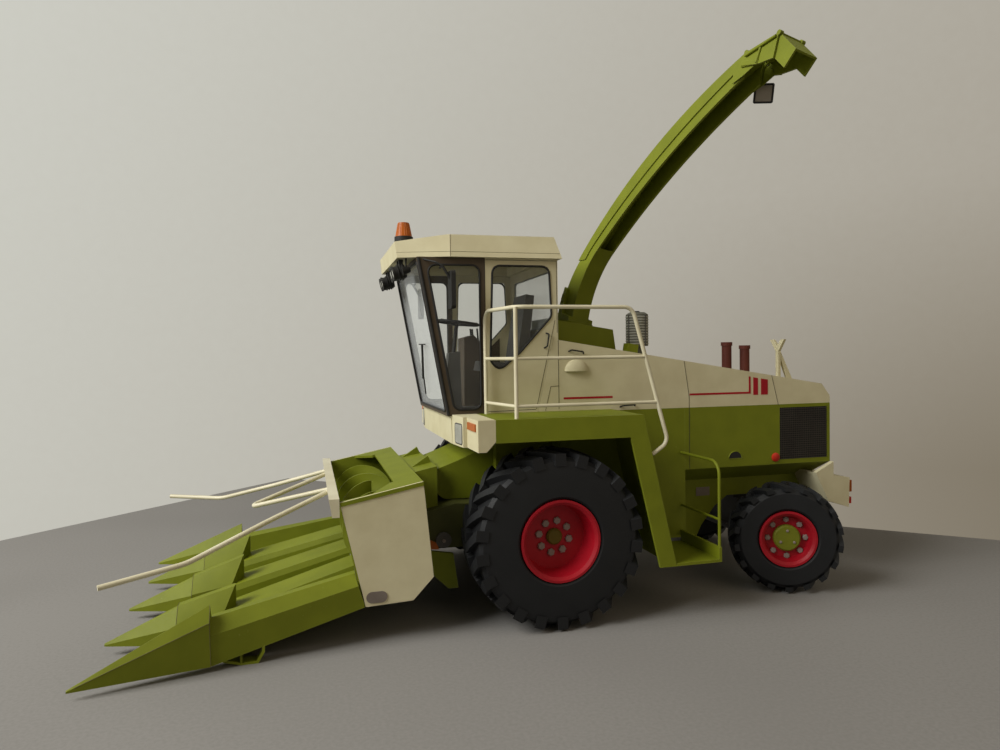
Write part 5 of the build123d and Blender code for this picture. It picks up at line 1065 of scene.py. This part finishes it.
# %% Pulleys, pins and guards
PULLEY = [(0.0, 0.0), (2.9, 0.0), (2.9, 0.35), (2.5, 0.6), (2.5, 0.9), (2.9, 1.15), (2.9, 1.5), (1.2, 1.5),
          (1.2, 1.9), (0.0, 1.9)]
pulley = turned(PULLEY, 32, closed=False)
pin = turned([(0.0, 1.85), (0.7, 1.85), (0.7, 2.3), (0.45, 2.45), (0.0, 2.45)], 12, closed=False)
for name, side in SIDES:
    seat = side_place(36.0, 27.8, side, out=CASE_HALF)
    keep(f"{name}_pulley", mesh_of("pulley", pulley, seat), slate_card, "machine", smooth=40)
    keep(f"{name}_pulley_pin", mesh_of("pin", pin, seat), nut_card, "machine", smooth=40)
    guard = on_side([(37.8, 24.6), (38.6, 27.0), (41.6, 28.4), (43.4, 25.0)], side, out=CASE_HALF, rise=1.3)
    keep(f"{name}_pulley_guard", mesh_of("guard", guard), amber_card, "machine")

# %% [markdown]
# ## Inside the cab
# Through the clear film the eye finds a seat, a wheel and a dark console. The console is a brown card
# box beside the seat, with a sloping top and a few levers; a brown lining hides the pale inner faces.

# %% Console, levers and lining
CAB_FLOOR_Z = 73.9
CONSOLE = ((7.6, 74.0), (18.6, 74.0), (18.2, 103.4), (14.0, 104.6), (7.6, 98.0))
LEVERS = ((11.0, -14.5), (13.2, -18.0), (11.6, -21.5))
LINING = [(18.9, 74.6), (18.9, 88.6), (14.4, 88.6), (6.0, 95.6), (-2.6, 103.6), (-2.6, 74.6)]
console = plate([(x, -24.6, z) for x, z in CONSOLE], (0, 13.2, 0))
keep("cab_console", mesh_of("console", console), brown_card, "machine")
levers = [path_of((x, y, 97.5), (x + 0.8, y, 107.5)) for x, y in LEVERS]
wire_piece("console_levers", levers, black_card, gauge=0.4)
for name, side in SIDES:
    lining = on_side(LINING, side, out=BODY_SIDE - 1.02, rise=-0.15)
    keep(f"{name}_door_lining", mesh_of("lining", lining), brown_card, "machine")

# %% Steering wheel, column and floor mat
RING_R, RING_GAUGE = 8.7, 0.55
wheel_seat = aimed((23.5, 0.0, 109.3), (-0.12, 0.0, 1.0))
ring = [(RING_R + RING_GAUGE * cos(pi * i / 5), RING_GAUGE * sin(pi * i / 5)) for i in range(10)]
grip = mesh_of("ring", turned(ring, 44), wheel_seat)
steering = keep("steering_wheel", grip, black_card, "machine", smooth=60)
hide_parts("steering_column")
hub = wheel_seat @ Vector((0, -0.5, 0))
spokes = [path_of(hub, wheel_seat @ Vector((8.6 * cos(a), 0, 8.6 * sin(a)))) for a in (0.5, 2.6, 4.7)]
spokes.append(path_of((27.6, 0, 74.0), (24.2, 0, 106.0), hub))
wire_piece("steering_spokes", spokes, black_card, gauge=0.8)
boot = plate([(30.4, -2.6, CAB_FLOOR_Z), (27.6, -2.6, 97.0), (23.0, -2.6, 97.6), (22.6, -2.6, CAB_FLOOR_Z)],
             (0, 5.2, 0))
keep("steering_boot", mesh_of("boot", boot), slate_card, "machine")
mat_corners = ((-7.8, -30.6), (31.5, -30.6), (31.5, 30.6), (-7.8, 30.6))
floor_mat = plate([(x, y, CAB_FLOOR_Z) for x, y in mat_corners], (0, 0, 0.25))
keep("cab_floor_mat", mesh_of("mat", floor_mat), slate_card, "machine")

# %% [markdown]
# ## Floor, backdrop and light
# The model stands on a grey table top in front of a pale wall, lit by a window on the camera's left.
# The table is one flat sheet whose far edge is cut to a corner; beyond it the world is a pale wall for
# camera, glossy and transmission rays, and a weak warm room light for everything else. The window is
# one large area lamp ahead of the machine, so fronts and tops are bright and the long side lies in
# shade. A second lamp, weak and warm, stands for light that the room throws back on that side.

# %% Table top
table_edge = [(560, 60), (260, -135), (100, -310), (-250, 10), (-560, 330), (-400, 700), (700, 700)]
table_mesh = bpy.data.meshes.new("table_top")
table_mesh.from_pydata([at(x, y, 0) for x, y in table_edge], [], [tuple(range(len(table_edge)))[::-1]])
table_top = bpy.data.objects.new("table_top", table_mesh)
bpy.context.collection.objects.link(table_top)
table_grey = bpy.data.materials.new("matt grey table laminate")
table_grey.use_nodes = True
tree = table_grey.node_tree
tree.nodes.clear()
place = add(tree, "ShaderNodeTexCoord").outputs["Object"]
felt = add(tree, "ShaderNodeTexNoise", {"Vector": place, "Scale": grain(1.1), "Detail": 2})
drift = add(tree, "ShaderNodeTexNoise", {"Vector": place, "Scale": grain(120), "Detail": 1})
blend = add(tree, "ShaderNodeMath", {0: felt.outputs[0], 1: drift.outputs[0]}, operation="MULTIPLY")
tone = add(tree, "ShaderNodeMapRange", {"Value": blend.outputs[0], "From Min": 0.15, "From Max": 0.35})
grey = add(tree, "ShaderNodeMix", {0: tone.outputs[0], 6: linear("#83817e"), 7: linear("#8a8885")},
           data_type="RGBA")
skin = add(tree, "ShaderNodeBsdfPrincipled", {"Base Color": grey.outputs[2], "Roughness": 0.75,
                                              "Specular IOR Level": 0.2})
add(tree, "ShaderNodeOutputMaterial", {"Surface": skin.outputs[0]})
table_mesh.materials.append(table_grey)

# %% Wall and room light
world = bpy.data.worlds.new("room")
bpy.context.scene.world = world
world.use_nodes = True
tree = world.node_tree
tree.nodes.clear()
ways = add(tree, "ShaderNodeLightPath")
seen = add(tree, "ShaderNodeMath", {0: ways.outputs["Is Camera Ray"], 1: ways.outputs["Is Glossy Ray"]},
           operation="MAXIMUM")
seen = add(tree, "ShaderNodeMath", {0: seen.outputs[0], 1: ways.outputs["Is Transmission Ray"]},
           operation="MAXIMUM")
facing = add(tree, "ShaderNodeTexCoord").outputs["Generated"]
# the wall is brightest towards the window and falls off to the rear and down
slope = add(tree, "ShaderNodeVectorMath", {0: facing, 1: (0.62, 0.0, 0.35)}, operation="DOT_PRODUCT")
plaster = add(tree, "ShaderNodeTexNoise", {"Vector": facing, "Scale": 95, "Detail": 3})
rough = add(tree, "ShaderNodeMath", {0: plaster.outputs[0], 1: 0.06, 2: slope.outputs["Value"]},
            operation="MULTIPLY_ADD")
axes = add(tree, "ShaderNodeSeparateXYZ", {0: facing})
rearward = add(tree, "ShaderNodeMapRange", {"Value": axes.outputs["X"], "From Min": -0.35, "From Max": -0.85})
downward = add(tree, "ShaderNodeMapRange", {"Value": axes.outputs["Z"], "From Min": 0.2, "From Max": -0.14})
corner = add(tree, "ShaderNodeMath", {0: rearward.outputs[0], 1: downward.outputs[0]}, operation="MULTIPLY")
fall = add(tree, "ShaderNodeMapRange", {"Value": rough.outputs[0], "From Min": -0.45, "From Max": 0.42})
upper = add(tree, "ShaderNodeMix", {0: fall.outputs[0], 6: linear("#a49d90"), 7: linear("#cfcfc6")},
            data_type="RGBA")
wall = add(tree, "ShaderNodeMix", {0: corner.outputs[0], 6: upper.outputs[2], 7: linear("#786f5e")},
           data_type="RGBA")
wall_light = add(tree, "ShaderNodeBackground", {"Color": wall.outputs[2], "Strength": 1.0})
room_light = add(tree, "ShaderNodeBackground", {"Color": linear("#ecdec4"), "Strength": 0.19})
both = add(tree, "ShaderNodeMixShader", {0: seen.outputs[0], 1: room_light.outputs[0],
                                         2: wall_light.outputs[0]})
add(tree, "ShaderNodeOutputWorld", {"Surface": both.outputs[0]})


def lamp(name, place, aim, size, watts, colour):
    """A square area lamp at a bench point, aimed at another."""
    data = bpy.data.lights.new(name, "AREA")
    data.size, data.energy, data.color = size / 1000, watts, linear(colour)[:3]
    holder = bpy.data.objects.new(name, data)
    holder.location = at(*place)
    holder.rotation_euler = (at(*aim) - at(*place)).to_track_quat("-Z", "Y").to_euler()
    bpy.context.collection.objects.link(holder)


lamp("window", (800, 210, 640), (0, 0, 60), 560, 12.5, "#fbfaf6")
lamp("room bounce", (-350, 700, 500), (0, 0, 60), 700, 0.9, "#ffe6c4")

# %% [markdown]
# ## Close
# The last cell prints how many pieces were added and how many faces they have.

# %% Count the pieces and their faces
print("pieces:", len(kept), "faces:", sum(count for _, count in kept))
